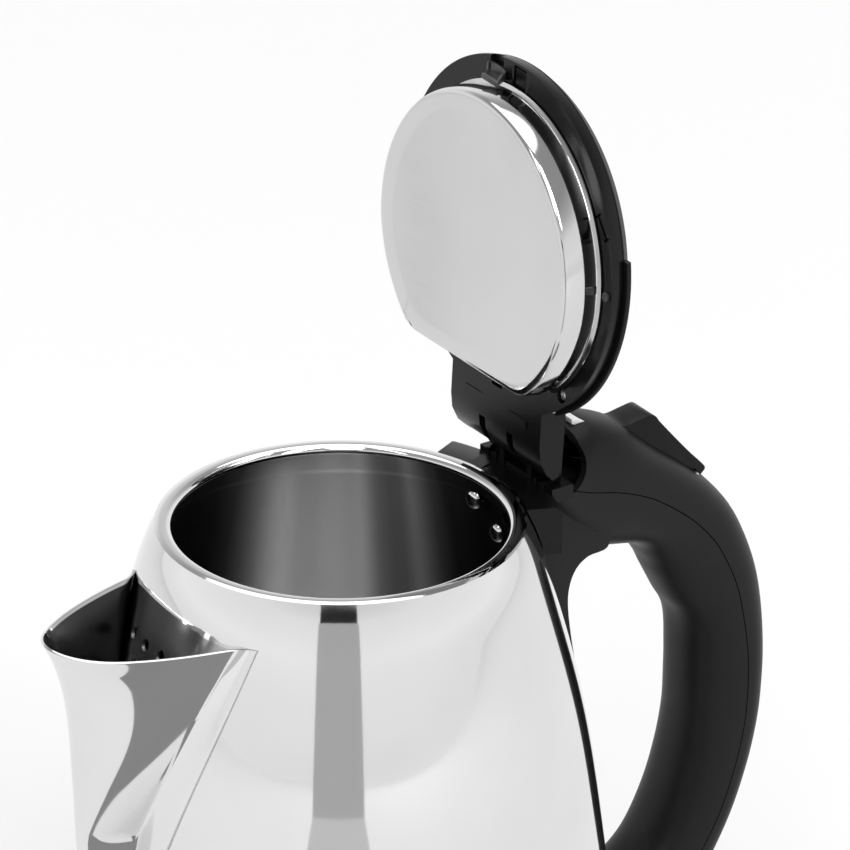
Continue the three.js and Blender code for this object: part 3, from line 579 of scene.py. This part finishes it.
# ---------------------------------------------------------------- spout
def spout_half(nose_x, z, down):
    """Half of the spout's plan outline at a height, from the welded edge to the nose.

    down runs from 0 at the lip to 1 at the apex of the V.
    """
    flange = 6.5 + 10 * down
    body_r = body_radius(z)
    seam = math.radians(1.2 + 31.2 * (1 - down) ** 1.2)
    fold = max(seam - flange / body_r, seam * 0.35)
    stand_off = 2.6 * (1 - down) ** 8
    fold_r = body_r + 1.3 + stand_off
    fx, fy = fold_r * math.cos(fold), max(fold_r * math.sin(fold), 0.4)
    reach = nose_x - fx
    handles = [
        (fx, fy), (fx + reach * 0.45, max(fy - reach * 0.1, fy * 0.45)), (nose_x, fy * 0.5), (nose_x, 0),
    ]
    line = []
    steps = 22
    for k in range(steps + 1):
        t = k / steps
        weights = ((1 - t) ** 3, 3 * (1 - t) ** 2 * t, 3 * (1 - t) * t * t, t ** 3)
        line.append(tuple(sum(w * h[axis] for w, h in zip(weights, handles)) for axis in (0, 1)))
    flat = []
    flat_steps = 8
    for k in range(flat_steps):
        share = k / flat_steps
        angle = seam + (fold - seam) * share
        r = body_r + 0.9 + (0.4 + stand_off) * share ** 2.5
        flat.append((r * math.cos(angle), r * math.sin(angle)))
    return flat + line


def make_spout():
    rows = []
    nose = catmull(NOSE_LINE, 10)
    for i, (x, z) in enumerate(nose):
        down = (SPOUT_LIP - z) / (SPOUT_LIP - SPOUT_APEX)
        half = spout_half(x, z, down)
        line = half + [(px, -py) for px, py in reversed(half[:-1])]
        rise = 1.0 if i == 0 else max(0.0, 1 - down * 12)
        rows.append([(-px, py, z + rise * 1.5 * max(0.0, (px - 90) / 15) ** 2) for px, py in line])
    count = len(rows[0])
    points = [p for row in rows for p in row]
    faces = [
        (i * count + j, i * count + j + 1, (i + 1) * count + j + 1, (i + 1) * count + j)
        for i in range(len(rows) - 1) for j in range(count - 1)
    ]
    skin = solid("spout_sheet", points, faces)
    middle = min(skin.data.polygons, key=lambda face: face.center.x)
    if middle.normal.x > 0:
        skin.data.flip_normals()
    thick = skin.modifiers.new("thick", "SOLIDIFY")
    thick.thickness = SPOUT_SHEET * MM
    thick.offset = -1
    thick.use_even_offset = True
    thick.use_quality_normals = True
    settle(skin)
    round_edges(skin, 0.25, 2, 50)
    dress(skin, (polished, spout_inner_painted_shade), "kettle", "polished_steel", "spout", crease=50)
    lip_height = RIM_HEIGHT + (SPOUT_LIP - 1) * MM
    # Faces turned towards the axis x = -0.06 m are the inner side; their sideways part counts more.
    for face in skin.data.polygons:
        centre, normal = face.center, face.normal
        facing = normal.x * (centre.x + 0.06) + normal.y * centre.y * 1.6
        face.material_index = 1 if facing < -0.0001 and centre.z < lip_height else 0


# ---------------------------------------------------------------- handle
SPINE = catmull([(s[0], s[1]) for s in HANDLE_STATIONS], HANDLE_SPAN)


def handle_rings(side, inset=0.0, overlap=0.0, start=0, facets=28):
    """Arches along the handle's outer (+1) or inner (-1) half, from a start station to the foot."""
    rings = []
    last = len(SPINE) - 1
    stations = catmull(HANDLE_STATIONS, HANDLE_SPAN)
    for i in range(start * HANDLE_SPAN, last + 1):
        x, z = SPINE[i]
        before, after = SPINE[max(i - 1, 0)], SPINE[min(i + 1, last)]
        tx, tz = after[0] - before[0], after[1] - before[1]
        size = math.hypot(tx, tz)
        ox, oz = -tz / size, tx / size
        half = stations[i][2] - inset
        depth = stations[i][3 if side > 0 else 4] - inset
        arch = []
        for k in range(facets + 1):
            angle = math.pi * k / facets
            cos, sin = math.cos(angle), math.sin(angle)
            across = half * math.copysign(abs(cos) ** HANDLE_SQUARENESS, cos)
            if abs(across) < 1e-9:
                across = 0
            height = depth * abs(sin) ** HANDLE_SQUARENESS
            rise = side * (height - (overlap if k in (0, facets) else 0) + GAP / 2)
            arch.append((x + ox * rise, across, z + oz * rise))
        rings.append(arch)
    return rings


def hinge_pocket():
    """The hollow between the handle's cheeks, where the lid's hinge swings."""
    return join(
        cross_rod("pocket", 12.4, 30, HINGE_X, HINGE_Z, segments=64),
        cross_rod("pocket", 11.5, 30, 66, 6, segments=64),
    )


def grow(points, margin):
    """An outline with each point moved away from the outline's middle."""
    cx = sum(p[0] for p in points) / len(points)
    cz = sum(p[1] for p in points) / len(points)
    out = []
    for x, z in points:
        reach = math.hypot(x - cx, z - cz)
        out.append((x + (x - cx) * margin / reach, z + (z - cz) * margin / reach))
    return out


def pressed(points, degrees):
    """The button's outline turned about its pivot."""
    cos, sin = math.cos(math.radians(degrees)), math.sin(math.radians(degrees))
    px, pz = BUTTON_PIVOT
    return [(px + (x - px) * cos - (z - pz) * sin, pz + (x - px) * sin + (z - pz) * cos) for x, z in points]


def shoulder_ring():
    """Room for the hinge collar."""
    low, radius = COLLAR_LOW - GAP, COLLAR_R + GAP
    return turned("shoulder", [(40, low), (radius, low), (radius, 8), (40, 8)], 128)


def make_handle():
    upper = loft("handle_upper", handle_rings(1))
    hollow = loft("hollow", handle_rings(1, HANDLE_SHELL, 4))
    well = block("well", (64, -14.5, -6), (73, 14.5, 11))
    slots = [
        prism("slot", grow(pressed(BUTTON_OUTLINE, degrees), 0.5), BUTTON_HALF + 0.4)
        for degrees in (0, 1.5, 3, 4.5)
    ]
    seat = prism("seat", grow(PAINTED_HIGHLIGHT_SIDE, 0.3), PAINTED_HIGHLIGHT_HALF + 0.2)
    cut(upper, hollow, well, hinge_pocket(), *slots, seat, shoulder_ring(), body_plug("plug", GAP))
    round_edges(upper, 0.35, 2, 40)
    dress(upper, satin, "kettle", "black_satin_plastic", "handle_upper_shell", crease=38)

    lower = loft("handle_grip", handle_rings(-1))
    strip = prism("strip", catmull(HANDLE_STRIP + HANDLE_STRIP[:1], 4)[:-1], 13.5)
    round_edges(strip, 3.5, 4, 50)
    join(lower, strip)
    hollow = loft("hollow", handle_rings(-1, HANDLE_SHELL, 4, 1))
    well = block("well", (60, -14, -5.2), (81, 14, 3))
    rivets = [
        radial_rod("rivet_hole", 2.4, 60, body_radius(z) + 2.5, angle, z) for angle, z in RIVETS
    ]
    steam = radial_rod("steam", 4.5, 60, 95, 0, STEAM_HOLE_Z)
    cut(lower, hollow, well, hinge_pocket(), shoulder_ring(), body_plug("plug", GAP), steam, *rivets)
    round_edges(lower, 0.35, 2, 40)
    dress(lower, satin, "kettle", "black_satin_plastic", "handle_lower_grip", crease=38)


def make_button():
    outline = catmull(BUTTON_OUTLINE[:BUTTON_TOP_POINTS], 5) + BUTTON_OUTLINE[BUTTON_TOP_POINTS:]
    button = prism("release_button", outline, BUTTON_HALF)
    under = prism("under", BUTTON_HOLLOW, BUTTON_HALF - 2)
    hole = cross_rod("hole", PIVOT_BORE, 20, *BUTTON_PIVOT)
    cut(button, under, hole)
    round_edges(button, 0.9, 4, 50)
    dress(button, gloss, "release_button", "black_gloss_plastic", "lid_release_button", crease=45)
    # A white piece on the handle's top, painting the highlight of its glossy top face.
    painted_highlight_piece = prism("painted_highlight_piece", PAINTED_HIGHLIGHT_SIDE, PAINTED_HIGHLIGHT_HALF)
    round_edges(painted_highlight_piece, 0.2, 2)
    dress(painted_highlight_piece, painted_highlight_white, "kettle", "white_label", "blank_badge")


def make_collar():
    section = [
        (54.4, COLLAR_LOW), (COLLAR_R, COLLAR_LOW), (COLLAR_R, -2.6), (COLLAR_R - 0.6, -1.5),
        (COLLAR_R - 2, -0.9), (54.4, -0.9),
    ]
    skirt = swept_arc("collar", section, 25, 60)
    parts = [
        block("deck", (60, -12, -4.3), (82, 12, -1.4)),
        block("seat", (62.9, -19, -4.3), (70.5, 19, 0.4)),
    ]
    for side in (-1, 1):
        foot = [(62.6, -3), (71, -3), (67.6, HINGE_Z), (62.6, HINGE_Z)]
        parts.append(prism("ear", foot, 1.2, side * EAR_Y))
        parts.append(cross_rod("boss", 2.7, 1.2, HINGE_X, HINGE_Z, side * EAR_Y))
    for y in (-14.5, -10.6, 10.6, 14.5):
        parts.append(block("rib", (62.5, y - 0.6, -1.6), (65.5, y + 0.6, 1.3)))
    collar = join(skirt, *parts)
    holes = [radial_rod("rivet_hole", 2.3, 55, 64.5, angle, z) for angle, z in RIVETS]
    cut(collar, body_plug("plug", GAP), cross_rod("bore", PIN_BORE, 20, HINGE_X, HINGE_Z), *holes)
    round_edges(collar, 0.3, 2, 40)
    dress(collar, moulded, "kettle", "black_gloss_plastic", "hinge_collar", crease=40)


# ---------------------------------------------------------------- lid, made shut and then turned open
def open_lid(piece):
    """Turns a piece of the shut lid about the hinge pin to the rest pose."""
    pin = Vector((HINGE_X * MM, 0, RIM_HEIGHT + HINGE_Z * MM))
    turn = Matrix.Translation(pin) @ Matrix.Rotation(LID_OPEN, 4, "Y") @ Matrix.Translation(-pin)
    piece.data.transform(turn)
    return piece


def pan_outline(radius, chord, steps=120, corner=3.5, corner_steps=6):
    """A circle cut straight on the hinge side, with rounded corners."""
    angle = math.acos((chord - PAN_SHIFT) / radius)
    limit = PAN_LIMIT + radius - PAN_R
    arc = []
    for i in range(steps + 1):
        turn = angle + (math.tau - 2 * angle) * i / steps
        x, y = PAN_SHIFT + radius * math.cos(turn), radius * math.sin(turn)
        share = min(1, limit / math.hypot(x, y))
        arc.append((x * share, y * share))
    first, last = Vector(arc[0]), Vector(arc[-1])
    trimmed = [p for p in arc if min((Vector(p) - first).length, (Vector(p) - last).length) > corner]
    out = list(trimmed)
    for corner_point, towards in ((last, first), (first, last)):
        inward = corner_point + (towards - corner_point).normalized() * corner
        ends = (Vector(trimmed[-1]), inward) if corner_point is last else (inward, Vector(trimmed[0]))
        for k in range(1 if corner_point is last else 0, corner_steps + 1):
            t = k / corner_steps
            point = ends[0] * (1 - t) ** 2 + corner_point * 2 * t * (1 - t) + ends[1] * t * t
            out.append(tuple(point))
    return out[:-1]


def make_pan():
    """The pressed steel pan: flat face, rounded edge, wall that leans in by the ring, then a rim."""
    top = LID_UNDERSIDE - GAP
    levels = [
        (-8, PAN_FLOOR), (-2.4, PAN_FLOOR), (-1.5, PAN_FLOOR + 0.12), (-0.9, PAN_FLOOR + 0.5),
        (-0.5, PAN_FLOOR + 1.1), (-0.3, PAN_FLOOR + 2), (0, PAN_FLOOR + 6.4), (-0.2, PAN_FLOOR + 7.8),
        (-0.9, top - 1.4), (-0.7, top - 0.8), (0.3, top - 0.5), (0.6, top - 0.4), (0.6, top - 0.05),
        (0.4, top), (-1.6, top), (-1.4, PAN_FLOOR + 3), (-2.5, PAN_FLOOR + 1),
    ]
    rings = []
    for grow_by, z in levels:
        rings.append([(x, y, z) for x, y in pan_outline(PAN_R + grow_by, PAN_CHORD + grow_by)])
    pan = open_lid(loft("lid_pan", rings))
    dress(pan, pan_steel, "lid", "polished_steel", "lid_inner_pan", crease=50)


def slanted(name, low, high):
    """A solid between two upright rectangles, each given as (x0, x1, y0, y1, z)."""
    rings = [[(x0, y0, z), (x1, y0, z), (x1, y1, z), (x0, y1, z)] for x0, x1, y0, y1, z in (low, high)]
    return loft(name, rings)


def make_catch_frame():
    """The slanted frame round the latch window at the lid's free end."""
    frame = slanted("catch_frame", (-48.3, -46.9, 3.4, 11.6, -4.4), (-50, -46.9, 7.4, 17, 1.7))
    cut(
        frame,
        slanted("window", (-55, -47.5, 4.8, 10.4, -3.5), (-55, -47.5, 8.4, 15.6, 0.9)),
        plate("pan_room", pan_outline(PAN_R + 0.35, PAN_CHORD), -8, 0.1),
        plate("flange_room", pan_outline(PAN_R + 0.9, PAN_CHORD), -0.2, 1.1),
        turned("rim_room", [(49.7, -6), (58, -6), (58, 0.25), (49.7, 0.25)], 128),
    )
    round_edges(frame, 0.15, 2, 40)
    open_lid(frame)
    dress(frame, catch_plastic, "lid", "black_gloss_plastic", crease=40)


def ring_marks():
    """Shallow marks in the lid's underside: two slots with cross ends and two screw recesses."""
    marks = []
    for side in (-1, 1):
        slot = join(
            block("slot", (-3.8, -0.5, 0), (3.8, 0.5, 2)),
            block("slot_end", (-4.3, -1.5, 0), (-3.5, 1.5, 2)),
            block("slot_end", (3.5, -1.5, 0), (4.3, 1.5, 2)),
        )
        place = Matrix.Translation((-0.0203, side * 0.0468, 0))
        slot.data.transform(place @ Matrix.Rotation(math.radians(side * 41), 4, "Z"))
        marks.append(slot)
        recess = [(0, 0), (2.3, 0), (2.3, 2.6), (0, 2.6)]
        marks.append(turned("screw_recess", recess, 32, (LID_SCREW[0], side * LID_SCREW[1])))
    return marks


def make_lid_pegs():
    for side in (-1, 1):
        pin = [(0, 0.35), (1.2, 0.35), (1.45, 0.6), (1.45, 2), (0, 2)]
        peg = turned("lid_peg", pin, 32, (0, side * 51.4))
        open_lid(peg)
        dress(peg, catch_plastic, "lid", "black_gloss_plastic", crease=40)
        head = [(0, 1.9), (1.2, 1.9), (1.9, 2.3), (1.9, 3.4), (0, 3.4)]
        x, y = LID_SCREW[0], side * LID_SCREW[1]
        screw = turned("lid_screw", head, 32, (x, y))
        cut(screw, block("driver", (x - 2.2, y - 0.3, 1.5), (x + 2.2, y + 0.3, 2.5)))
        open_lid(screw)
        dress(screw, zinc, "lid", "brushed_steel", crease=40)


def make_lid_frame():
    disc = turned("lid_ring", [
        (0, LID_UNDERSIDE), (LID_R, LID_UNDERSIDE), (LID_R, LID_UNDERSIDE + 1.2),
        (LID_R - 0.7, FRAME_TOP), (0, FRAME_TOP),
    ], 160)
    cut(disc, *ring_marks(), block("window", (-53.4, 8.6, 0), (-49.6, 15.4, 3)))
    cut(disc, plate("pan_room", pan_outline(PAN_R + 0.4, PAN_CHORD + 0.4), -5, 10))
    tongue = join(
        prism("tongue", TONGUE_SIDE, TONGUE_HALF),
        block("neck", (54, -KNUCKLE_HALF, LID_UNDERSIDE), (57, KNUCKLE_HALF, 15.6)),
        block("knuckle", (56, -KNUCKLE_HALF, 7.2), (76.1, KNUCKLE_HALF, 15.6)),
    )
    room_r = LID_R + GAP
    cut(tongue, turned("cover_room", [(0, FRAME_TOP), (room_r, FRAME_TOP), (room_r, 30), (0, 30)], 128))
    body = join(disc, tongue)
    holes = [prism("tail", [(69, 7), (77, 13.4), (78, 5)], 20)]
    holes += [block("slot", (61.4, y - 1.6, 0), (77, y + 1.6, 18)) for y in (-EAR_Y, EAR_Y)]
    holes.append(cross_rod("spring_room", 3.3, 6, HINGE_X, HINGE_Z))
    holes.append(cross_rod("bore", PIN_BORE, 20, HINGE_X, HINGE_Z))
    holes.append(block("latch_way", (-53.4, -3.2, 0), (-40, 3.2, 4.6)))
    holes.append(block("bar_way", (38, -2.6, 0), (49, 2.6, 4.6)))
    cut(body, *holes)
    round_edges(body, 0.28, 2, 40)
    open_lid(body)
    dress(body, moulded, "lid", "black_gloss_plastic", "lid_frame", crease=40)


def make_lid_cover():
    low = FRAME_TOP + GAP
    curve = catmull([
        (LID_R - 1.1, 6.4), (52, 7.7), (50.4, 9.3), (47.6, 10.9), (43, 12.2), (33, 13.4), (18, 14.2),
        (0, 14.5),
    ], 8)
    outside = [(LID_R - 1.1, low), (LID_R - 0.85, low + 0.3), *curve]
    inside = [(max(r - 2.2, 0), z - 1.5) for r, z in reversed(curve)]
    dome = turned("lid_cover", [*outside, *inside, (LID_R - 2.2, low)], 192)
    lip = turned("lip", [
        (LID_R - 1.5, low), (LID_R + 0.9, low), (LID_R + 1.2, low + 0.3), (LID_R + 1.2, low + 1.2),
        (LID_R + 0.8, low + 1.6), (LID_R - 1.5, low + 1.6),
    ], 160)
    front = block("front", (-80, -80, 0), (-11, 80, 30))
    rear = block("rear", (0, -TONGUE_HALF - 1, 0), (80, TONGUE_HALF + 1, 30))
    cut(lip, front, rear)
    join(dome, lip)
    open_lid(dome)
    dress(dome, satin, "lid", "black_gloss_plastic", "lid_cover", crease=40)


# ---------------------------------------------------------------- underside and power base
def make_skirt():
    """The black ring under the steel wall, with the lever's slot."""
    low = BASE_TOP + GAP
    top = STEEL_LOW - GAP
    outline = [
        (84.6, low), (85.6, low + 0.4), (86.2, low + 1.3), (86.4, low + 2.6), (86.4, low + 6),
        (86.1, low + 9), (85.5, top - 0.8), (85.1, top), (81.5, top), (81.5, top - 2.5), (83, top - 4),
        (83, low + 3.5), (82.2, low + 3.2), (82.2, low),
    ]
    skirt = turned("skirt", outline, 192)
    cut(skirt, block("lever_slot", (78, -9, low + 3.4), (92, 9, top - 3)))
    round_edges(skirt, 0.25, 2, 50)
    dress(skirt, satin, "kettle", "black_satin_plastic", "base_skirt", crease=38)


def make_base():
    top_line = catmull([
        (BASE_R, BASE_LOW), (BASE_R - 0.1, BASE_LOW + 3), (BASE_R - 0.5, BASE_LOW + 6),
        (BASE_R - 2.6, BASE_LOW + 11.2), (BASE_R - 6, BASE_TOP - 0.8), (BASE_R - 8.5, BASE_TOP - 0.05),
        (BASE_R - 11, BASE_TOP - 0.1), (BASE_R - 14, BASE_TOP - 1.6), (34, BASE_TOP - 2.4),
        (30, BASE_TOP - 1.2), (22, BASE_TOP - 1.2),
    ], 6)
    under = [
        (22, BASE_TOP - 1.2 - BASE_WALL), (32, BASE_TOP - 2.4 - BASE_WALL),
        (BASE_R - 12, BASE_TOP - BASE_WALL - 2), (BASE_R - 8, BASE_TOP - BASE_WALL - 0.8),
        (BASE_R - 5, 14 + TABLE), (BASE_R - BASE_WALL, 8 + TABLE), (BASE_R - BASE_WALL, BASE_LOW),
    ]
    shell = turned("power_base", [*top_line, *under], 192)
    cut(shell, rod("gland_hole", 6.8, (60, 0, GLAND_Z), (95, 0, GLAND_Z)))
    round_edges(shell, 0.3, 2, 50)
    dress(shell, satin, "power_base", "black_satin_plastic", "power_base_shell", crease=38)


def make_lever():
    """The on/off paddle below the handle; its outline is in side view."""
    outline = catmull([
        (79, -180.8), (86, -181.8), (98, -182.4), (106.5, -181), (108, -178.6), (104, -176.6),
        (92, -176.2), (86, -176.4), (80, -177), (79, -180.8),
    ], 4)[:-1]
    lever = prism("lever", outline, 8)
    lens_room = block("lens_room", (95.7, -3.3, -178), (102.3, 3.3, -170))
    cut(lever, cross_rod("hole", PIVOT_BORE, 20, *LEVER_PIVOT), lens_room)
    round_edges(lever, 0.6, 3, 50)
    dress(lever, satin, "power_switch", "black_satin_plastic", "switch_lever", crease=40)


def make_gland():
    """The rubber gland at the back of the power base, turned round the cord's level axis."""
    rings = []
    sides = 40
    profile = [
        (3.4, 75.5), (6.2, 75.5), (6.3, 76.5), (6.4, 80), (6.1, 82), (5.2, 82.4), (5.2, 83.2), (6, 83.6),
        (5.9, 84.8), (5.1, 85.1), (5.1, 85.9), (5.6, 86.3), (5.2, 87.5), (3.4, 87.5),
    ]
    for r, x in profile:
        ring = []
        for k in range(sides):
            turn = math.tau * k / sides
            ring.append((x, r * math.cos(turn), GLAND_Z + r * math.sin(turn)))
        rings.append(ring)
    gland = loft("gland", rings, wrap=True)
    dress(gland, rubber, "power_base", "black_gloss_plastic", "cord_gland", crease=40)


# CAD nodes whose shape is kept: node, material
KEPT = {
    "lid_latch_bar": moulded, "lid_latch_spring": brushed, "lid_torsion_spring": brushed,
    "hinge_pin": brushed, "release_slider": moulded, "button_spring": brushed,
    "button_pivot_pin": brushed, "steam_tube": silicone, "heating_plate": brushed,
    "seal_ring": silicone, "heat_spreader": aluminium, "heating_element": brushed,
    "thermostat_control": moulded, "underside_cover": moulded, "switch_pivot_pin": brushed,
    "indicator_lens": lens_red, "power_base_cover": moulded, "connector_post": moulded,
    "earth_pin": brass, "live_contact_ring": brass, "supply_wires": wire, "coupler_socket": moulded,
}


def dress_kept_nodes():
    """Gives the CAD nodes that are shown as they are a material and softened edges."""
    for name, piece in frame["nodes"].items():
        material = KEPT.get(name)
        if name.startswith(("base_screw", "underside_screw")):
            material = zinc
        elif name.startswith("base_foot"):
            material = rubber
        if material is None:
            continue
        for slot in piece.material_slots:
            slot.material = material
        edge = piece.modifiers.new("edge", "BEVEL")
        edge.width = 0.18 * MM
        edge.segments = 2
        edge.limit_method = "ANGLE"
        edge.angle_limit = math.radians(40)


# ---------------------------------------------------------------- stage, light and camera
def simple_material(name, value, roughness):
    material, nodes, links, shader = new_material(name)
    shader.inputs["Roughness"].default_value = roughness
    shader.inputs["Specular IOR Level"].default_value = 0.1
    noise = object_noise(nodes, links, 3.0, 2.0)
    tone = ramp(nodes, [(0.3, value), (0.7, value * 1.01)])
    links.new(noise.outputs["Fac"], tone.inputs["Fac"])
    links.new(tone.outputs["Color"], shader.inputs["Base Color"])
    return material


def make_stage():
    mesh = bpy.data.meshes.new("floor")
    size = 4.0
    corners = [(-size, -size, 0), (size, -size, 0), (size, size, 0), (-size, size, 0)]
    mesh.from_pydata(corners, [], [(0, 1, 2, 3)])
    floor = bpy.data.objects.new("floor", mesh)
    bpy.context.scene.collection.objects.link(floor)
    mesh.materials.append(simple_material("floor_paper", 0.8, 0.9))


def card(name, corners, value):
    """A studio card that shows only in reflections."""
    mesh = bpy.data.meshes.new(name)
    mesh.from_pydata(corners, [], [tuple(range(len(corners)))])
    piece = bpy.data.objects.new(name, mesh)
    bpy.context.scene.collection.objects.link(piece)
    mesh.materials.append(simple_material(name, value, 0.9))
    piece.visible_camera = False
    piece.visible_diffuse = False
    piece.visible_shadow = False


def make_cards():
    """Grey cards that the polished steel reflects: one straight ahead, one beside the spout, one behind."""
    azimuth = math.radians(-35)
    ahead = Vector((math.sin(azimuth), -math.cos(azimuth), 0))
    side = Vector((math.cos(azimuth), math.sin(azimuth), 0))
    lift = 0.001  # the flat cards lie this far above the floor

    def across(distance, half, height):
        middle = ahead * distance + Vector((0, 0, height))
        return [middle - side * half, middle + side * half]

    def card_between(name, low, high, value):
        card(name, [*across(*low), *reversed(across(*high))], value)

    card_between("floor_card_near", (0.36, 0.1, lift), (0.75, 0.18, lift), 0.5)
    card_between("floor_card_far", (0.75, 0.18, lift), (1.5, 0.3, lift), 0.5)
    card_between("standing_card", (1.5, 0.3, 0), (1.5, 0.3, 0.72), 0.5)
    beside = [(-0.15, -0.115), (-0.15, -0.24), (0.01, -0.24), (0.0, -0.16), (-0.05, -0.145), (-0.1, -0.125)]
    card("beside_card", [Vector((x, y, 0.0012)) for x, y in beside], 0.24)
    seams = (("seam_card_6", 0.0055, lift, 0.66), ("seam_card_3", 0.0028, 0.0014, 0.56))
    for name, half, height, value in seams:
        near, far = Vector((-0.33, 0.508, height)), Vector((-0.51, 0.77, height))
        wide = Vector((0.824, 0.567, 0)) * half
        card(name, [near - wide, near + wide, far + wide, far - wide], value)
    card_between("cap_card", (1.49, 0.28, 0.72), (1.49, 0.28, 0.86), 0.02)


def soft_light(name, azimuth, elevation, distance, width, height, radiance):
    """A soft box turned to the kettle, its strength given as the brightness of its face."""
    light = bpy.data.lights.new(name, "AREA")
    light.shape = "RECTANGLE"
    light.size, light.size_y = width, height
    light.energy = radiance * width * height * math.pi
    lamp = bpy.data.objects.new(name, light)
    bpy.context.scene.collection.objects.link(lamp)
    a, e = math.radians(azimuth), math.radians(elevation)
    back = Vector((math.sin(a) * math.cos(e), -math.cos(a) * math.cos(e), math.sin(e)))
    lamp.location = Vector((0, 0, 0.2)) + back * distance
    lamp.rotation_mode = "QUATERNION"
    lamp.rotation_quaternion = (-back).to_track_quat("-Z", "Y")


def make_lights():
    # name, azimuth and elevation in degrees, distance, width and height in metres, radiance
    soft_light("key_box", 2, 52, 5.6, 1.0, 4.4, 9.0)
    soft_light("fill_box", -38, 56, 6.0, 1.9, 4.0, 3.6)
    soft_light("edge_box", -84, 58, 6.0, 0.5, 3.2, 4.0)
    sky = bpy.data.lights.new("sky_light", "SUN")
    sky.angle = math.radians(50)
    sky.energy = 0.9
    lamp = bpy.data.objects.new("sky_light", sky)
    bpy.context.scene.collection.objects.link(lamp)
    lamp.rotation_euler = (math.radians(-18), math.radians(12), 0)


# Brightness of the surroundings by the upward part of the direction.
SKY_TONES = [(0.0, 1.0), (0.1, 1.1), (0.35, 1.0), (0.5, 0.6), (0.65, 0.4), (1.0, 0.4)]


def make_world():
    world = bpy.data.worlds.new("studio")
    bpy.context.scene.world = world
    world.use_nodes = True
    nodes, links = world.node_tree.nodes, world.node_tree.links
    background = nodes["Background"]
    where = nodes.new("ShaderNodeTexCoord")
    split = nodes.new("ShaderNodeSeparateXYZ")
    tone = ramp(nodes, SKY_TONES)
    links.new(where.outputs["Generated"], split.inputs["Vector"])
    links.new(split.outputs["Z"], tone.inputs["Fac"])
    links.new(tone.outputs["Color"], background.inputs["Color"])
    background.inputs["Strength"].default_value = 1.0


CAMERA_AZIMUTH = math.radians(-34.14)
CAMERA_ELEVATION = math.radians(26.02)
CAMERA_DISTANCE = 8.0  # metres
CAMERA_LENS = 1145  # millimetres, long enough to look almost parallel
AIM_RIGHT = 0.025  # the picture's middle lies this far right of the rim's middle, in metres
AIM_UP = 0.0283


def make_camera():
    level = math.cos(CAMERA_ELEVATION)
    back = Vector((
        math.sin(CAMERA_AZIMUTH) * level, -math.cos(CAMERA_AZIMUTH) * level, math.sin(CAMERA_ELEVATION),
    ))
    right = Vector((math.cos(CAMERA_AZIMUTH), math.sin(CAMERA_AZIMUTH), 0))
    up = back.cross(right)
    target = Vector((0, 0, RIM_HEIGHT)) + right * AIM_RIGHT + up * AIM_UP
    data = bpy.data.cameras.new("camera")
    data.sensor_width = 36
    data.lens = CAMERA_LENS
    data.dof.use_dof = False
    camera = bpy.data.objects.new("camera", data)
    bpy.context.scene.collection.objects.link(camera)
    camera.location = target + back * CAMERA_DISTANCE
    camera.rotation_mode = "QUATERNION"
    camera.rotation_quaternion = (-back).to_track_quat("-Z", "Y")
    bpy.context.scene.camera = camera


make_camera()
make_vessel()
make_rivets()
make_spout()
make_handle()
make_button()
make_collar()
make_pan()
make_lid_frame()
make_lid_cover()
make_catch_frame()
make_lid_pegs()
make_skirt()
make_base()
make_lever()
make_gland()
dress_kept_nodes()
make_stage()
make_cards()
make_lights()
make_world()
bpy.context.scene.view_settings.view_transform = "Standard"
